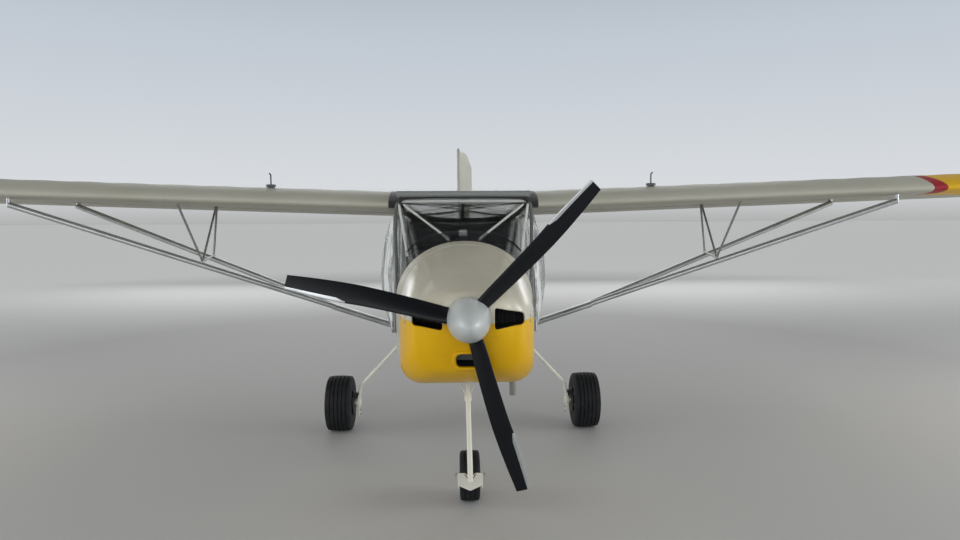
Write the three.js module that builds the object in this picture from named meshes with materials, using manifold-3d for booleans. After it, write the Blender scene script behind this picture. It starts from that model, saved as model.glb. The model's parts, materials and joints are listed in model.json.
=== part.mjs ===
// A light two-seat high-wing aircraft on a nose-wheel undercarriage, in millimetres.
// Stations run aft from the propeller plane, x to the right of a viewer who faces the nose, z up.
import * as THREE from 'three';
import { mergeVertices } from 'three/addons/utils/BufferGeometryUtils.js';
import Module from 'manifold-3d';

const wasm = await Module();
wasm.setup();

// Driving dimensions
const HALF_SPAN = 5260;
const THRUST_HEIGHT = 1198;
const PROPELLER_RADIUS = 890;
const SPINNER_RADIUS = 108;
const GAP = 0.3;
const OVERCUT = 20;
const PIN_RADIUS = 5;

// Colours from the real finish
const CREAM = { color: 0xddd8c4, roughness: 0.35, metalness: 0.0 };
const YELLOW = { color: 0xe8b400, roughness: 0.3, metalness: 0.0 };
const ALUMINIUM = { color: 0xb8bcc0, roughness: 0.4, metalness: 0.9 };
const STEEL = { color: 0x8d9194, roughness: 0.45, metalness: 0.8 };
const BLACK = { color: 0x16171a, roughness: 0.5, metalness: 0.0 };
const RUBBER = { color: 0x1b1b1c, roughness: 0.85, metalness: 0.0 };
const GLASS = { color: 0xcfd8dc, roughness: 0.05, metalness: 0.0 };
const SEAT_CLOTH = { color: 0x4a4d52, roughness: 0.9, metalness: 0.0 };

const aircraft = new THREE.Group();

// Adds one named piece to the aircraft.
function add(name, geometry, finish) {
  const mesh = new THREE.Mesh(geometry, new THREE.MeshStandardMaterial(finish));
  mesh.name = name;
  aircraft.add(mesh);
}

const at = (x, station, z) => new THREE.Vector3(x, station, z);
const mirrored = (point, side) => at(point.x * side, point.y, point.z);

// Six times the enclosed volume tells whether the faces point out; if not, they are turned.
function facingOut(geometry) {
  const place = geometry.attributes.position;
  const index = geometry.index.array;
  const corner = [at(0, 0, 0), at(0, 0, 0), at(0, 0, 0)];
  let volume = 0;
  for (let i = 0; i < index.length; i += 3) {
    corner.forEach((c, k) => c.fromBufferAttribute(place, index[i + k]));
    volume += corner[0].dot(corner[1].clone().cross(corner[2]));
  }
  if (volume < 0) {
    for (let i = 0; i < index.length; i += 3) {
      [index[i + 1], index[i + 2]] = [index[i + 2], index[i + 1]];
    }
  }
  return geometry;
}

function fromPoints(points, faces) {
  const geometry = new THREE.BufferGeometry();
  geometry.setAttribute('position', new THREE.Float32BufferAttribute(points.flatMap((p) => p.toArray()), 3));
  geometry.setIndex(faces.flat());
  return facingOut(geometry);
}

// A closed body through rings that have the same number of points, with both ends capped.
function loft(rings) {
  const size = rings[0].length;
  const points = rings.flat();
  const faces = [];
  for (let r = 0; r + 1 < rings.length; r += 1) {
    for (let i = 0; i < size; i += 1) {
      const a = r * size + i;
      const b = r * size + (i + 1) % size;
      faces.push([a, b, b + size], [a, b + size, a + size]);
    }
  }
  for (const end of [0, rings.length - 1]) {
    const centre = rings[end].reduce((sum, p) => sum.add(p), at(0, 0, 0)).divideScalar(size);
    const hub = points.push(centre) - 1;
    for (let i = 0; i < size; i += 1) {
      const a = end * size + i;
      const b = end * size + (i + 1) % size;
      faces.push(end === 0 ? [hub, b, a] : [hub, a, b]);
    }
  }
  return fromPoints(points, faces);
}

// A curved panel of even thickness: place(u, v) gives its outer face, and the inner face lies inwards.
function panel(place, across, along, thickness) {
  const outer = [];
  const inner = [];
  const step = 1e-3;
  for (let i = 0; i <= across; i += 1) {
    for (let j = 0; j <= along; j += 1) {
      const u = i / across;
      const v = j / along;
      const alongU = place(Math.min(u + step, 1), v).sub(place(Math.max(u - step, 0), v));
      const alongV = place(u, Math.min(v + step, 1)).sub(place(u, Math.max(v - step, 0)));
      const normal = alongU.cross(alongV).normalize();
      outer.push(place(u, v));
      inner.push(place(u, v).addScaledVector(normal, -thickness));
    }
  }
  const row = along + 1;
  const layer = outer.length;
  const faces = [];
  const quad = (a, b, c, d) => faces.push([a, b, c], [a, c, d]);
  for (let i = 0; i < across; i += 1) {
    for (let j = 0; j < along; j += 1) {
      const a = i * row + j;
      quad(a, a + row, a + row + 1, a + 1);
      quad(layer + a, layer + a + 1, layer + a + row + 1, layer + a + row);
    }
  }
  const rim = (a, b) => quad(a, b, b + layer, a + layer);
  for (let j = 0; j < along; j += 1) {
    rim(j, j + 1);
    rim(across * row + j + 1, across * row + j);
  }
  for (let i = 0; i < across; i += 1) {
    rim((i + 1) * row, i * row);
    rim(i * row + along, (i + 1) * row + along);
  }
  return fromPoints([...outer, ...inner], faces);
}

function toSolid(geometry) {
  const bare = geometry.clone();
  bare.deleteAttribute('normal');
  bare.deleteAttribute('uv');
  const merged = mergeVertices(bare, 1e-3);
  return new wasm.Manifold(new wasm.Mesh({
    numProp: 3,
    vertProperties: new Float32Array(merged.attributes.position.array),
    triVerts: new Uint32Array(merged.index.array),
  }));
}

function toGeometry(solid) {
  const mesh = solid.getMesh();
  const geometry = new THREE.BufferGeometry();
  geometry.setAttribute('position', new THREE.BufferAttribute(mesh.vertProperties, 3));
  geometry.setIndex(new THREE.BufferAttribute(mesh.triVerts, 1));
  return geometry;
}

const join = (...pieces) => toGeometry(pieces.map(toSolid).reduce((whole, piece) => whole.add(piece)));
const cut = (piece, ...tools) => toGeometry(
  tools.map(toSolid).reduce((rest, tool) => rest.subtract(tool), toSolid(piece)),
);
const common = (piece, tool) => toGeometry(toSolid(piece).intersect(toSolid(tool)));

function box(low, high) {
  const geometry = new THREE.BoxGeometry(high.x - low.x, high.y - low.y, high.z - low.z);
  return geometry.translate((low.x + high.x) / 2, (low.y + high.y) / 2, (low.z + high.z) / 2);
}

// An oval rod from one point to another; chord is its size along the flight line, depth the other one.
function strut(from, to, depth, chord, sides = 10) {
  const along = to.clone().sub(from).normalize();
  const flight = Math.abs(along.y) > 0.9 ? at(0, 0, 1) : at(0, 1, 0);
  const chordAxis = flight.addScaledVector(along, -flight.dot(along)).normalize();
  const depthAxis = along.clone().cross(chordAxis);
  const ring = (centre) => Array.from({ length: sides }, (_, i) => {
    const turn = 2 * Math.PI * (i + 0.5) / sides;
    return centre.clone()
      .addScaledVector(chordAxis, Math.cos(turn) * chord / 2)
      .addScaledVector(depthAxis, Math.sin(turn) * depth / 2);
  });
  return loft([ring(from), ring(to)]);
}

const rod = (from, to, radius, sides = 10) => strut(from, to, 2 * radius, 2 * radius, sides);

// A round tube along a path of points, mitred where the path bends.
function tube(path, radius, sides = 8) {
  const rings = path.map((point, i) => {
    const before = point.clone().sub(path[Math.max(i - 1, 0)]).normalize();
    const after = path[Math.min(i + 1, path.length - 1)].clone().sub(point).normalize();
    const along = before.clone().add(after).normalize();
    const bend = after.clone().sub(before);
    const inside = i > 0 && i < path.length - 1 && bend.length() > 1e-6;
    const stretch = inside ? 1 / along.dot(after) - 1 : 0;
    bend.normalize();
    const start = Math.abs(along.y) > 0.9 ? at(0, 0, 1) : at(0, 1, 0);
    const first = start.addScaledVector(along, -start.dot(along)).normalize();
    const second = along.clone().cross(first);
    return Array.from({ length: sides }, (_, k) => {
      const turn = 2 * Math.PI * (k + 0.5) / sides;
      const offset = first.clone().multiplyScalar(radius * Math.cos(turn))
        .addScaledVector(second, radius * Math.sin(turn));
      offset.addScaledVector(bend, offset.dot(bend) * stretch);
      return point.clone().add(offset);
    });
  });
  return loft(rings);
}

// A turned body about a line parallel to x: each profile row is [x, radius].
function turned(centre, profile, sides) {
  const lathe = new THREE.LatheGeometry(profile.map(([x, radius]) => new THREE.Vector2(radius, x)), sides);
  lathe.rotateZ(-Math.PI / 2);
  lathe.rotateX(-Math.PI / 2);
  const closed = new THREE.BufferGeometry();
  closed.setAttribute('position', lathe.attributes.position);
  closed.setIndex(lathe.index);
  const merged = facingOut(mergeVertices(closed, 1e-3));
  return toGeometry(toSolid(merged)).translate(centre.x, centre.y, centre.z);
}

// Fuselage sections: half width, lowest and highest z, corner radius below,
// and the width and height of the round shoulder above.
const CORNER_STEPS = 6;
function section({ station, half, low, high, corner, shoulder, crown }, grow = 0) {
  const quarter = (centreX, centreZ, radiusX, radiusZ, start) => Array.from(
    { length: CORNER_STEPS + 1 },
    (_, i) => {
      const turn = start + i / CORNER_STEPS * Math.PI / 2;
      return at(
        centreX + (radiusX + grow) * Math.cos(turn),
        station,
        centreZ + (radiusZ + grow) * Math.sin(turn),
      );
    },
  );
  return [
    ...quarter(half - corner, low + corner, corner, corner, -Math.PI / 2),
    ...quarter(half - shoulder, high - crown, shoulder, crown, 0),
    ...quarter(shoulder - half, high - crown, shoulder, crown, Math.PI / 2),
    ...quarter(corner - half, low + corner, corner, corner, Math.PI),
  ];
}

// Engine cowling
const COWL = [
  { station: 30, half: 128, low: 1075, high: 1298, corner: 100, shoulder: 126, crown: 105 },
  { station: 45, half: 165, low: 1030, high: 1325, corner: 110, shoulder: 155, crown: 120 },
  { station: 75, half: 220, low: 978, high: 1337, corner: 130, shoulder: 205, crown: 140 },
  { station: 130, half: 290, low: 900, high: 1352, corner: 140, shoulder: 270, crown: 170 },
  { station: 300, half: 350, low: 815, high: 1388, corner: 125, shoulder: 333, crown: 230 },
  { station: 600, half: 380, low: 757, high: 1452, corner: 115, shoulder: 367, crown: 290 },
  { station: 914.7, half: 398, low: 735, high: 1518, corner: 120, shoulder: 388, crown: 345 },
];
const COWL_WALL = 6;
const COWL_SPLIT = 1170;
const INLET = {
  inside: 128, outside: 278, lowInside: 1137, lowOutside: 1158, topInside: 1248, topOutside: 1212, depth: 420,
};
const SCOOP = { half: 62, low: 944, high: 1016, depth: 330 };
const NOSE_LEG_STATION = 545;
const NOSE_LEG_HOLE = 60;
const EXHAUST = { x: 274, station: 720, radius: 19, hole: 27, end: 634 };
// The lip of the air outlet hangs below the cowl's bottom, a little further out on one side.
const OUTLET_LIP = { front: 690, back: 912, top: 762, drop: 713, wall: 6, right: -290, left: 355 };

// A plate whose outline lies in the side view, as [station, z] rows, carried from one x to another.
function alongX(outline, fromX, toX) {
  const shape = new THREE.Shape(outline.map(([a, b]) => new THREE.Vector2(a, b)));
  return new THREE.ExtrudeGeometry(shape, { depth: toX - fromX, bevelEnabled: false })
    .rotateX(Math.PI / 2)
    .rotateZ(Math.PI / 2)
    .translate(fromX, 0, 0);
}

function inletCutter(side) {
  const shape = new THREE.Shape([
    new THREE.Vector2(side * INLET.inside, INLET.lowInside),
    new THREE.Vector2(side * INLET.outside, INLET.lowOutside),
    new THREE.Vector2(side * INLET.outside, INLET.topOutside),
    new THREE.Vector2(side * INLET.inside, INLET.topInside),
  ]);
  return new THREE.ExtrudeGeometry(shape, { depth: INLET.depth, bevelEnabled: false })
    .rotateX(Math.PI / 2)
    .translate(0, INLET.depth, 0);
}

function cowlShell() {
  const inside = COWL.map((row) => section(row, -COWL_WALL));
  inside[0].forEach((point) => { point.y += COWL_WALL; });
  inside[1].forEach((point) => { point.y += COWL_WALL / 2; });
  inside[inside.length - 1].forEach((point) => { point.y += OVERCUT; });
  const shaftHole = new THREE.CylinderGeometry(85, 85, 200, 24).translate(0, 60, THRUST_HEIGHT);
  const scoop = box(at(-SCOOP.half, 0, SCOOP.low), at(SCOOP.half, SCOOP.depth, SCOOP.high));
  const legHole = new THREE.CylinderGeometry(NOSE_LEG_HOLE, NOSE_LEG_HOLE, 300, 16)
    .rotateX(Math.PI / 2)
    .translate(0, NOSE_LEG_STATION, 800);
  const exhaustHole = new THREE.CylinderGeometry(EXHAUST.hole, EXHAUST.hole, 300, 12)
    .rotateX(Math.PI / 2)
    .translate(EXHAUST.x, EXHAUST.station, 800);
  const { front, back, top, drop, wall, right, left } = OUTLET_LIP;
  const lip = alongX([[front, top], [front, top - wall], [back, drop], [back, drop + wall]], right, left);
  const cheeks = [[right, right + wall], [left - wall, left]].map(([from, to]) => alongX(
    [[front, top - wall], [back, drop], [back, top - 3 * wall], [front + 3 * wall, top]],
    from,
    to,
  ));
  return cut(
    join(loft(COWL.map((row) => section(row))), lip, ...cheeks),
    loft(inside), shaftHole, scoop, legHole, exhaustHole, inletCutter(1), inletCutter(-1),
  );
}
const WIDE = 3000;
const cowl = cowlShell();
add('cowl_upper', common(cowl, box(at(-WIDE, -WIDE, COWL_SPLIT + GAP / 2), at(WIDE, WIDE, WIDE))), CREAM);
add('cowl_lower', common(cowl, box(at(-WIDE, -WIDE, 0), at(WIDE, WIDE, COWL_SPLIT - GAP / 2))), YELLOW);

// Engine: one plain block with its shaft, its mounting tubes and the exhaust stub
const FIREWALL_STATION = 915;
const FIREWALL_THICKNESS = 8;
const ENGINE = { half: 215, front: 230, back: 780, low: 950, high: 1250 };
const SHAFT_END = 20.3;
const firewallRow = {
  station: FIREWALL_STATION, half: 399, low: 736, high: 1520, corner: 120, shoulder: 389, crown: 346,
};

function engine() {
  const mounts = [[-1, 1000], [1, 1000], [-1, 1220], [1, 1220]].map(([side, z]) => rod(
    at(side * 190, ENGINE.back - 5, z),
    at(side * 190, FIREWALL_STATION - GAP, z),
    12,
  ));
  const shaft = rod(at(0, ENGINE.front + 5, THRUST_HEIGHT), at(0, SHAFT_END, THRUST_HEIGHT), 50, 16);
  const block = box(at(-ENGINE.half, ENGINE.front, ENGINE.low), at(ENGINE.half, ENGINE.back, ENGINE.high));
  return join(block, shaft, ...mounts);
}

const firewallRing = section(firewallRow);
add('firewall', loft([
  firewallRing,
  firewallRing.map((p) => at(p.x, p.y + FIREWALL_THICKNESS, p.z)),
]), ALUMINIUM);
add('engine_block', engine(), STEEL);
add('exhaust_pipe', cut(
  join(
    rod(at(ENGINE.half - 20, EXHAUST.station, 1030), at(EXHAUST.x, EXHAUST.station, 900), EXHAUST.radius),
    rod(at(EXHAUST.x, EXHAUST.station, 905), at(EXHAUST.x, EXHAUST.station, EXHAUST.end), EXHAUST.radius),
  ),
  box(at(-WIDE, 0, 0), at(ENGINE.half + GAP, WIDE, WIDE)),
), STEEL);

// Propeller: spinner and three blades
const BLADE_ANGLES = [46.9, 168.1, -72.3];
const SPINNER_PROFILE = [
  [0, -290], [20, -282], [48, -248], [74, -190], [94, -120], [105, -50], [SPINNER_RADIUS, 20], [0, 20],
];
// Columns: radius, chord, pitch in degrees, thickness, sweep towards the trailing edge
const BLADE = [
  [70, 94, 44, 36, 0],
  [150, 99, 38, 24, 1],
  [300, 99, 30, 17, 8],
  [500, 101, 23, 12, 13],
  [620, 102, 20, 10, 11],
  [760, 90, 17, 8, 9],
  [PROPELLER_RADIUS, 72, 13, 6, 7],
];
const spinnerSolid = (grow) => turnedAboutFlight(SPINNER_PROFILE.map(([radius, station], i, all) => [
  radius === 0 ? 0 : radius + grow,
  station + (i === 0 ? -grow : 0) + (i >= all.length - 2 ? grow : 0),
]), 28);

// A turned body about the thrust line: each profile row is [radius, station].
function turnedAboutFlight(profile, sides) {
  const lathe = new THREE.LatheGeometry(profile.map(([radius, y]) => new THREE.Vector2(radius, y)), sides);
  const closed = new THREE.BufferGeometry();
  closed.setAttribute('position', lathe.attributes.position);
  closed.setIndex(lathe.index);
  return toGeometry(toSolid(facingOut(mergeVertices(closed, 1e-3)))).translate(0, 0, THRUST_HEIGHT);
}

function blade(degrees) {
  const turn = THREE.MathUtils.degToRad(degrees);
  const outwards = at(Math.cos(turn), 0, Math.sin(turn));
  const ahead = at(-Math.sin(turn), 0, Math.cos(turn));
  const rings = BLADE.map(([radius, chord, pitch, thickness, sweep]) => {
    const angle = THREE.MathUtils.degToRad(pitch);
    const chordAxis = ahead.clone().multiplyScalar(Math.cos(angle)).add(at(0, -Math.sin(angle), 0));
    const faceAxis = ahead.clone().multiplyScalar(Math.sin(angle)).add(at(0, Math.cos(angle), 0));
    return Array.from({ length: 10 }, (_, i) => {
      const around = 2 * Math.PI * i / 10;
      return at(0, -20, THRUST_HEIGHT)
        .addScaledVector(outwards, radius)
        .addScaledVector(chordAxis, Math.cos(around) * chord / 2 - sweep)
        .addScaledVector(faceAxis, Math.sin(around) * thickness / 2);
    });
  });
  return cut(loft(rings), spinnerSolid(GAP));
}

add('spinner', spinnerSolid(0), { ...CREAM, color: 0xd5d9d6 });
BLADE_ANGLES.forEach((degrees, i) => add(`propeller_blade_${i + 1}`, blade(degrees), BLACK));

// Cabin tub, boot cowl and rear fuselage
const TUB = [
  { station: 923.3, half: 400, low: 735, high: 1800, corner: 120, shoulder: 60, crown: 60 },
  { station: 1250, half: 452, low: 715, high: 1800, corner: 125, shoulder: 60, crown: 60 },
  { station: 1600, half: 478, low: 712, high: 1800, corner: 120, shoulder: 60, crown: 60 },
  { station: 2050, half: 480, low: 722, high: 1800, corner: 120, shoulder: 60, crown: 60 },
  { station: 2400, half: 468, low: 765, high: 1800, corner: 120, shoulder: 60, crown: 60 },
];
const TUB_WALL = 22;
const SILL = 900;
const tubOutside = (grow) => loft(TUB.map((row) => section(row, grow)));

// The hollow of the tub, run past both of its ends.
function tubInside(grow) {
  const rings = TUB.map((row) => section(row, grow));
  rings[0].forEach((point) => { point.y -= OVERCUT; });
  rings[rings.length - 1].forEach((point) => { point.y += OVERCUT; });
  return loft(rings);
}
const tubCavity = () => tubInside(-TUB_WALL - GAP);

add('cabin_tub', cut(
  tubOutside(0),
  tubInside(-TUB_WALL),
  box(at(-WIDE, 0, SILL), at(WIDE, WIDE, WIDE)),
), CREAM);

const BOOT = [
  { station: 923.3, half: 400, low: 500, high: 1521, corner: 60, shoulder: 390, crown: 346 },
  { station: 1010, half: 413, low: 500, high: 1540, corner: 60, shoulder: 406, crown: 380 },
  { station: 1250, half: 453, low: 500, high: 1590, corner: 60, shoulder: 446, crown: 430 },
];
const BOOT_WALL = 8;
const SCREEN_CUT_END = 1400;
const SCREEN_BASE = { front: at(0, 1010, 1540), back: at(0, 1255, 1160) };
const SCREEN_SLOPE = (SCREEN_BASE.front.z - SCREEN_BASE.back.z) / (SCREEN_BASE.back.y - SCREEN_BASE.front.y);

function bootInside(grow) {
  const rings = BOOT.map((row) => section(row, grow));
  rings[0].forEach((point) => { point.y -= OVERCUT; });
  rings[rings.length - 1].forEach((point) => { point.y += OVERCUT; });
  return loft(rings);
}

function bootCowl() {
  const wedge = alongX([
    [SCREEN_BASE.front.y, SCREEN_BASE.front.z],
    [SCREEN_CUT_END, SCREEN_BASE.front.z - SCREEN_SLOPE * (SCREEN_CUT_END - SCREEN_BASE.front.y)],
    [SCREEN_CUT_END, WIDE],
    [SCREEN_BASE.front.y, WIDE],
  ], -WIDE, WIDE);
  return cut(
    loft(BOOT.map((row) => section(row))),
    bootInside(-BOOT_WALL), wedge,
    box(at(-WIDE, 0, 0), at(WIDE, WIDE, SILL + GAP)),
  );
}
add('boot_cowl', bootCowl(), CREAM);

const REAR = [
  { station: 2400.3, half: 468, low: 765, high: 1690, corner: 120, shoulder: 60, crown: 40 },
  { station: 2800, half: 424, low: 850, high: 1690, corner: 110, shoulder: 70, crown: 45 },
  { station: 3600, half: 306, low: 1058, high: 1698, corner: 90, shoulder: 80, crown: 50 },
  { station: 4450, half: 176, low: 1283, high: 1714.7, corner: 60, shoulder: 80, crown: 50 },
  { station: 5279, half: 45, low: 1470, high: 1714.7, corner: 30, shoulder: 35, crown: 30 },
];
const REAR_WALL = 8;
const REAR_END_WALL = 10;

function rearFuselage() {
  const inside = REAR.map((row) => section(row, -REAR_WALL));
  inside[0].forEach((point) => { point.y -= OVERCUT; });
  inside[inside.length - 1].forEach((point) => { point.y -= REAR_END_WALL; });
  return cut(loft(REAR.map((row) => section(row))), loft(inside));
}

// Wing: one aerofoil along a straight taper-free span with dihedral, rounded at the tip
const WING_ROOT = 442;
const CHORD = 1420;
const LEADING_STATION = 1300;
const CENTRE_LEADING_HEIGHT = 1751;
const DIHEDRAL = 0.0364;
const INCIDENCE = THREE.MathUtils.degToRad(3);
const CAMBER = 0.04;
const CAMBER_PLACE = 0.4;
const THICKNESS = 0.1;
const SPAR_STATION = 2185;
const HINGE_STATION = 2248;
const HINGE_NOSE = 45;
const FLAP = { inner: 565, outer: 3222 };
const AILERON = { inner: 3236, outer: 5050 };
const HINGE_SLOT = 20;
const LUG_THICKNESS = 8;

// Height of the aerofoil's upper (+1) or lower (-1) face over its chord line, as a share of the chord.
function aerofoil(u, face) {
  const camber = u < CAMBER_PLACE
    ? CAMBER / CAMBER_PLACE ** 2 * (2 * CAMBER_PLACE * u - u * u)
    : CAMBER / (1 - CAMBER_PLACE) ** 2 * (1 - 2 * CAMBER_PLACE + 2 * CAMBER_PLACE * u - u * u);
  const half = 5 * THICKNESS
    * (0.2969 * Math.sqrt(u) - 0.126 * u - 0.3516 * u ** 2 + 0.2843 * u ** 3 - 0.1015 * u ** 4);
  return camber + face * half;
}
const FACE_PLACES = [0, 0.012, 0.04, 0.09, 0.17, 0.3, 0.46, 0.64, 0.82, 1];

// The wing section at a distance from the centre line, as a closed ring from the trailing edge
// over the top to the leading edge and back below.
function wingRing(x, chordShare = 1, lift = 0) {
  const leading = LEADING_STATION + (1 - chordShare) * CHORD * 0.55;
  const base = CENTRE_LEADING_HEIGHT + DIHEDRAL * x + lift;
  const chord = CHORD * chordShare;
  const offset = (1 - chordShare) * CHORD * 0.55 * Math.tan(INCIDENCE);
  const place = (u, face) => at(
    x,
    leading + u * chord,
    base - offset - u * chord * Math.tan(INCIDENCE) + aerofoil(u, face) * chord,
  );
  const top = [...FACE_PLACES].reverse().map((u) => place(u, 1));
  top[0].z += 1.5;
  const bottom = FACE_PLACES.slice(1).map((u) => place(u, -1));
  bottom[bottom.length - 1].z -= 1.5;
  return [...top, ...bottom];
}
// Columns: distance from the centre line, share of the chord, rise of the chord line
const WING_TIP = [[WING_ROOT, 1, 0], [5040, 1, 0], [5150, 0.965, 4], [5225, 0.87, 12], [HALF_SPAN, 0.7, 24]];
const flipped = (geometry, side) => (side > 0 ? geometry : mirrorX(geometry));

function mirrorX(geometry) {
  const copy = geometry.clone();
  copy.deleteAttribute('normal');
  copy.scale(-1, 1, 1);
  return facingOut(copy);
}

const wingSolid = (lift = 0) => loft(WING_TIP.map(([x, share, rise]) => wingRing(x, share, rise + lift)));
const hingeHeight = (x) => CENTRE_LEADING_HEIGHT + DIHEDRAL * x
  - (HINGE_STATION - LEADING_STATION) * Math.tan(INCIDENCE) + 45;
const hingePoint = (x) => at(x, HINGE_STATION, hingeHeight(x));

function hingedSurface({ inner, outer }, lugs) {
  const blockLow = at(inner, HINGE_STATION, 0);
  const block = common(wingSolid(), box(blockLow, at(outer, WIDE, WIDE)));
  const nose = strut(hingePoint(inner), hingePoint(outer), 2 * HINGE_NOSE, 2 * HINGE_NOSE, 16);
  const trimmedNose = common(nose, box(at(inner, 0, 0), at(outer, HINGE_STATION + 10, WIDE)));
  const slots = lugs.map((x) => box(
    at(x - HINGE_SLOT / 2, 0, hingeHeight(x) - 90),
    at(x + HINGE_SLOT / 2, HINGE_STATION + 24, hingeHeight(x) + 90),
  ));
  return cut(join(block, trimmedNose), ...slots);
}
const FLAP_LUGS = [900, 1900, 2900];
const AILERON_LUGS = [3550, 4150, 4750];
const FUEL_CAP = { x: 1336, station: 1600, radius: 34, rise: 120 };

function wing() {
  const zone = box(at(FLAP.inner - 12, SPAR_STATION, 0), at(AILERON.outer + 12, WIDE, WIDE));
  const lugs = [...FLAP_LUGS, ...AILERON_LUGS].flatMap((x) => {
    const pin = hingePoint(x);
    const root = at(x, SPAR_STATION - 15, pin.z);
    const reach = at(0, PIN_RADIUS + 3, 0);
    const halfPin = at(HINGE_SLOT / 2 - GAP, 0, 0);
    return [
      strut(root, pin.clone().add(reach), LUG_THICKNESS, 18, 8),
      rod(pin.clone().sub(halfPin), pin.clone().add(halfPin), PIN_RADIUS, 8),
    ];
  });
  const capTop = CENTRE_LEADING_HEIGHT + DIHEDRAL * FUEL_CAP.x + FUEL_CAP.rise;
  const cap = new THREE.CylinderGeometry(FUEL_CAP.radius, FUEL_CAP.radius, 60, 16)
    .rotateX(Math.PI / 2)
    .translate(FUEL_CAP.x, FUEL_CAP.station, capTop - 18);
  const ventFoot = at(FUEL_CAP.x, FUEL_CAP.station, capTop - 10);
  const ventTop = at(FUEL_CAP.x, FUEL_CAP.station - 4, capTop + 66);
  const ventMouth = at(FUEL_CAP.x, FUEL_CAP.station - 34, capTop + 74);
  return join(
    cut(wingSolid(), zone), ...lugs, cap,
    rod(ventFoot, ventTop, 5, 8), rod(ventTop.clone().add(at(0, 4, -3)), ventMouth, 5, 8),
  );
}

// Lift struts: the rear one branches off the front one at the fork, above a wide fairing at the foot
const STRUTS = {
  foot: at(520, 2010, 855),
  fork: at(894, 1915, 996),
  frontTop: at(2989, 1385, 1784),
  rearTop: at(2937, 2140, 1782),
};
const STRUT_DEPTH = 38;
const STRUT_CHORD = 75;
const FOOT_FAIRING = { depth: 46, chord: 130 };
const FITTING = 12;
const belowWing = wingSolid(-GAP);
const topFitting = (top) => box(
  at(top.x - 15, top.y - FITTING, top.z - 12),
  at(top.x + 15, top.y + FITTING, top.z + 70),
);
const frontStrutSolid = (grow) => join(
  strut(STRUTS.foot, STRUTS.frontTop, STRUT_DEPTH + grow, STRUT_CHORD + grow, 12),
  strut(STRUTS.foot, STRUTS.fork, FOOT_FAIRING.depth + grow, FOOT_FAIRING.chord + grow, 12),
);

function liftStrutFront() {
  const { foot, frontTop } = STRUTS;
  const footFitting = box(
    at(440, foot.y - FITTING, foot.z - 16),
    at(foot.x + 8, foot.y + FITTING, foot.z + 14),
  );
  return cut(join(frontStrutSolid(0), topFitting(frontTop), footFitting), belowWing, tubOutside(GAP));
}

function liftStrutRear() {
  const { fork, rearTop } = STRUTS;
  const bare = join(strut(fork, rearTop, STRUT_DEPTH, STRUT_CHORD, 12), topFitting(rearTop));
  return cut(bare, belowWing, frontStrutSolid(2 * GAP));
}

// The jury struts steady the lift struts: two feet on a cross bar, three tops at the wing.
const JURY = { frontFoot: 1850, rearFoot: 1889, frontTop: 1915, rearTop: 1890, top: 1825, radius: 8 };

function juryStruts() {
  const onStrut = (low, high, x) => low.clone()
    .lerp(high, (x - low.x) / (high.x - low.x))
    .add(at(0, 0, STRUT_DEPTH / 2 + JURY.radius + 2));
  const front = onStrut(STRUTS.foot, STRUTS.frontTop, JURY.frontFoot);
  const rear = onStrut(STRUTS.fork, STRUTS.rearTop, JURY.rearFoot);
  const reach = rear.clone().sub(front).normalize().multiplyScalar(STRUT_CHORD / 2);
  const frontTop = at(JURY.frontTop, STRUTS.frontTop.y + 20, JURY.top);
  const rearTop = at(JURY.rearTop, STRUTS.rearTop.y, JURY.top);
  return cut(
    join(
      rod(front.clone().sub(reach), rear.clone().add(reach), JURY.radius, 8),
      rod(front, frontTop, JURY.radius, 8),
      rod(rear, rearTop, JURY.radius, 8),
      rod(front, rearTop.clone().sub(at(0, 12, 0)), JURY.radius, 8),
    ),
    belowWing,
  );
}

const wingPieces = {
  wing: [wing(), CREAM],
  flap: [hingedSurface(FLAP, FLAP_LUGS), CREAM],
  aileron: [hingedSurface(AILERON, AILERON_LUGS), CREAM],
  lift_strut_front: [liftStrutFront(), ALUMINIUM],
  lift_strut_rear: [liftStrutRear(), ALUMINIUM],
  jury_struts: [juryStruts(), ALUMINIUM],
};
for (const [side, word] of [[-1, 'right'], [1, 'left']]) {
  for (const [name, [geometry, finish]] of Object.entries(wingPieces)) {
    add(`${name}_${word}`, flipped(geometry, side), finish);
  }
}

// Tail: tailplane with one elevator, fin and rudder
const TAILPLANE = { centre: 4560, tip: 4760, back: 5150, half: 1350, height: 1735, thickness: 40 };
const ELEVATOR = { hinge: 5172, back: 5585, inner: 70, innerBack: 175, nose: 17 };
const ELEVATOR_LUGS = [450, 1150];
const FIN = { rootFront: 4600, topFront: 5040, back: 5282, low: 1715, high: 2500, thickness: 36 };
const RUDDER = { hinge: 5302, chord: 534, low: 1480, high: 2480, nose: 15, rest: 19 };
const RUDDER_LUGS = [1560, 1950, 2330];
const LUG_ROOT = 8;

// A flat fabric-covered surface: an outline in plan given an even thickness with a rounded rim.
function slab(outline, thickness) {
  const inset = thickness / 2;
  const shape = new THREE.Shape(outline.map(([a, b]) => new THREE.Vector2(a, b)));
  return new THREE.ExtrudeGeometry(shape, {
    depth: thickness - inset,
    bevelEnabled: true,
    bevelThickness: inset / 2,
    bevelSize: inset,
    bevelOffset: -inset,
    bevelSegments: 2,
    curveSegments: 6,
  }).translate(0, 0, -(thickness - inset) / 2);
}
const lugPlate = (root, pin, along) => {
  const aft = pin.clone().add(at(0, PIN_RADIUS + 3, 0));
  const halfPin = along.clone().multiplyScalar(HINGE_SLOT / 2 - GAP);
  const flat = along.x !== 0;
  return [
    strut(root, aft, flat ? LUG_THICKNESS : 16, flat ? 16 : LUG_THICKNESS, 8),
    rod(pin.clone().sub(halfPin), pin.clone().add(halfPin), PIN_RADIUS, 8),
  ];
};

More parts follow.
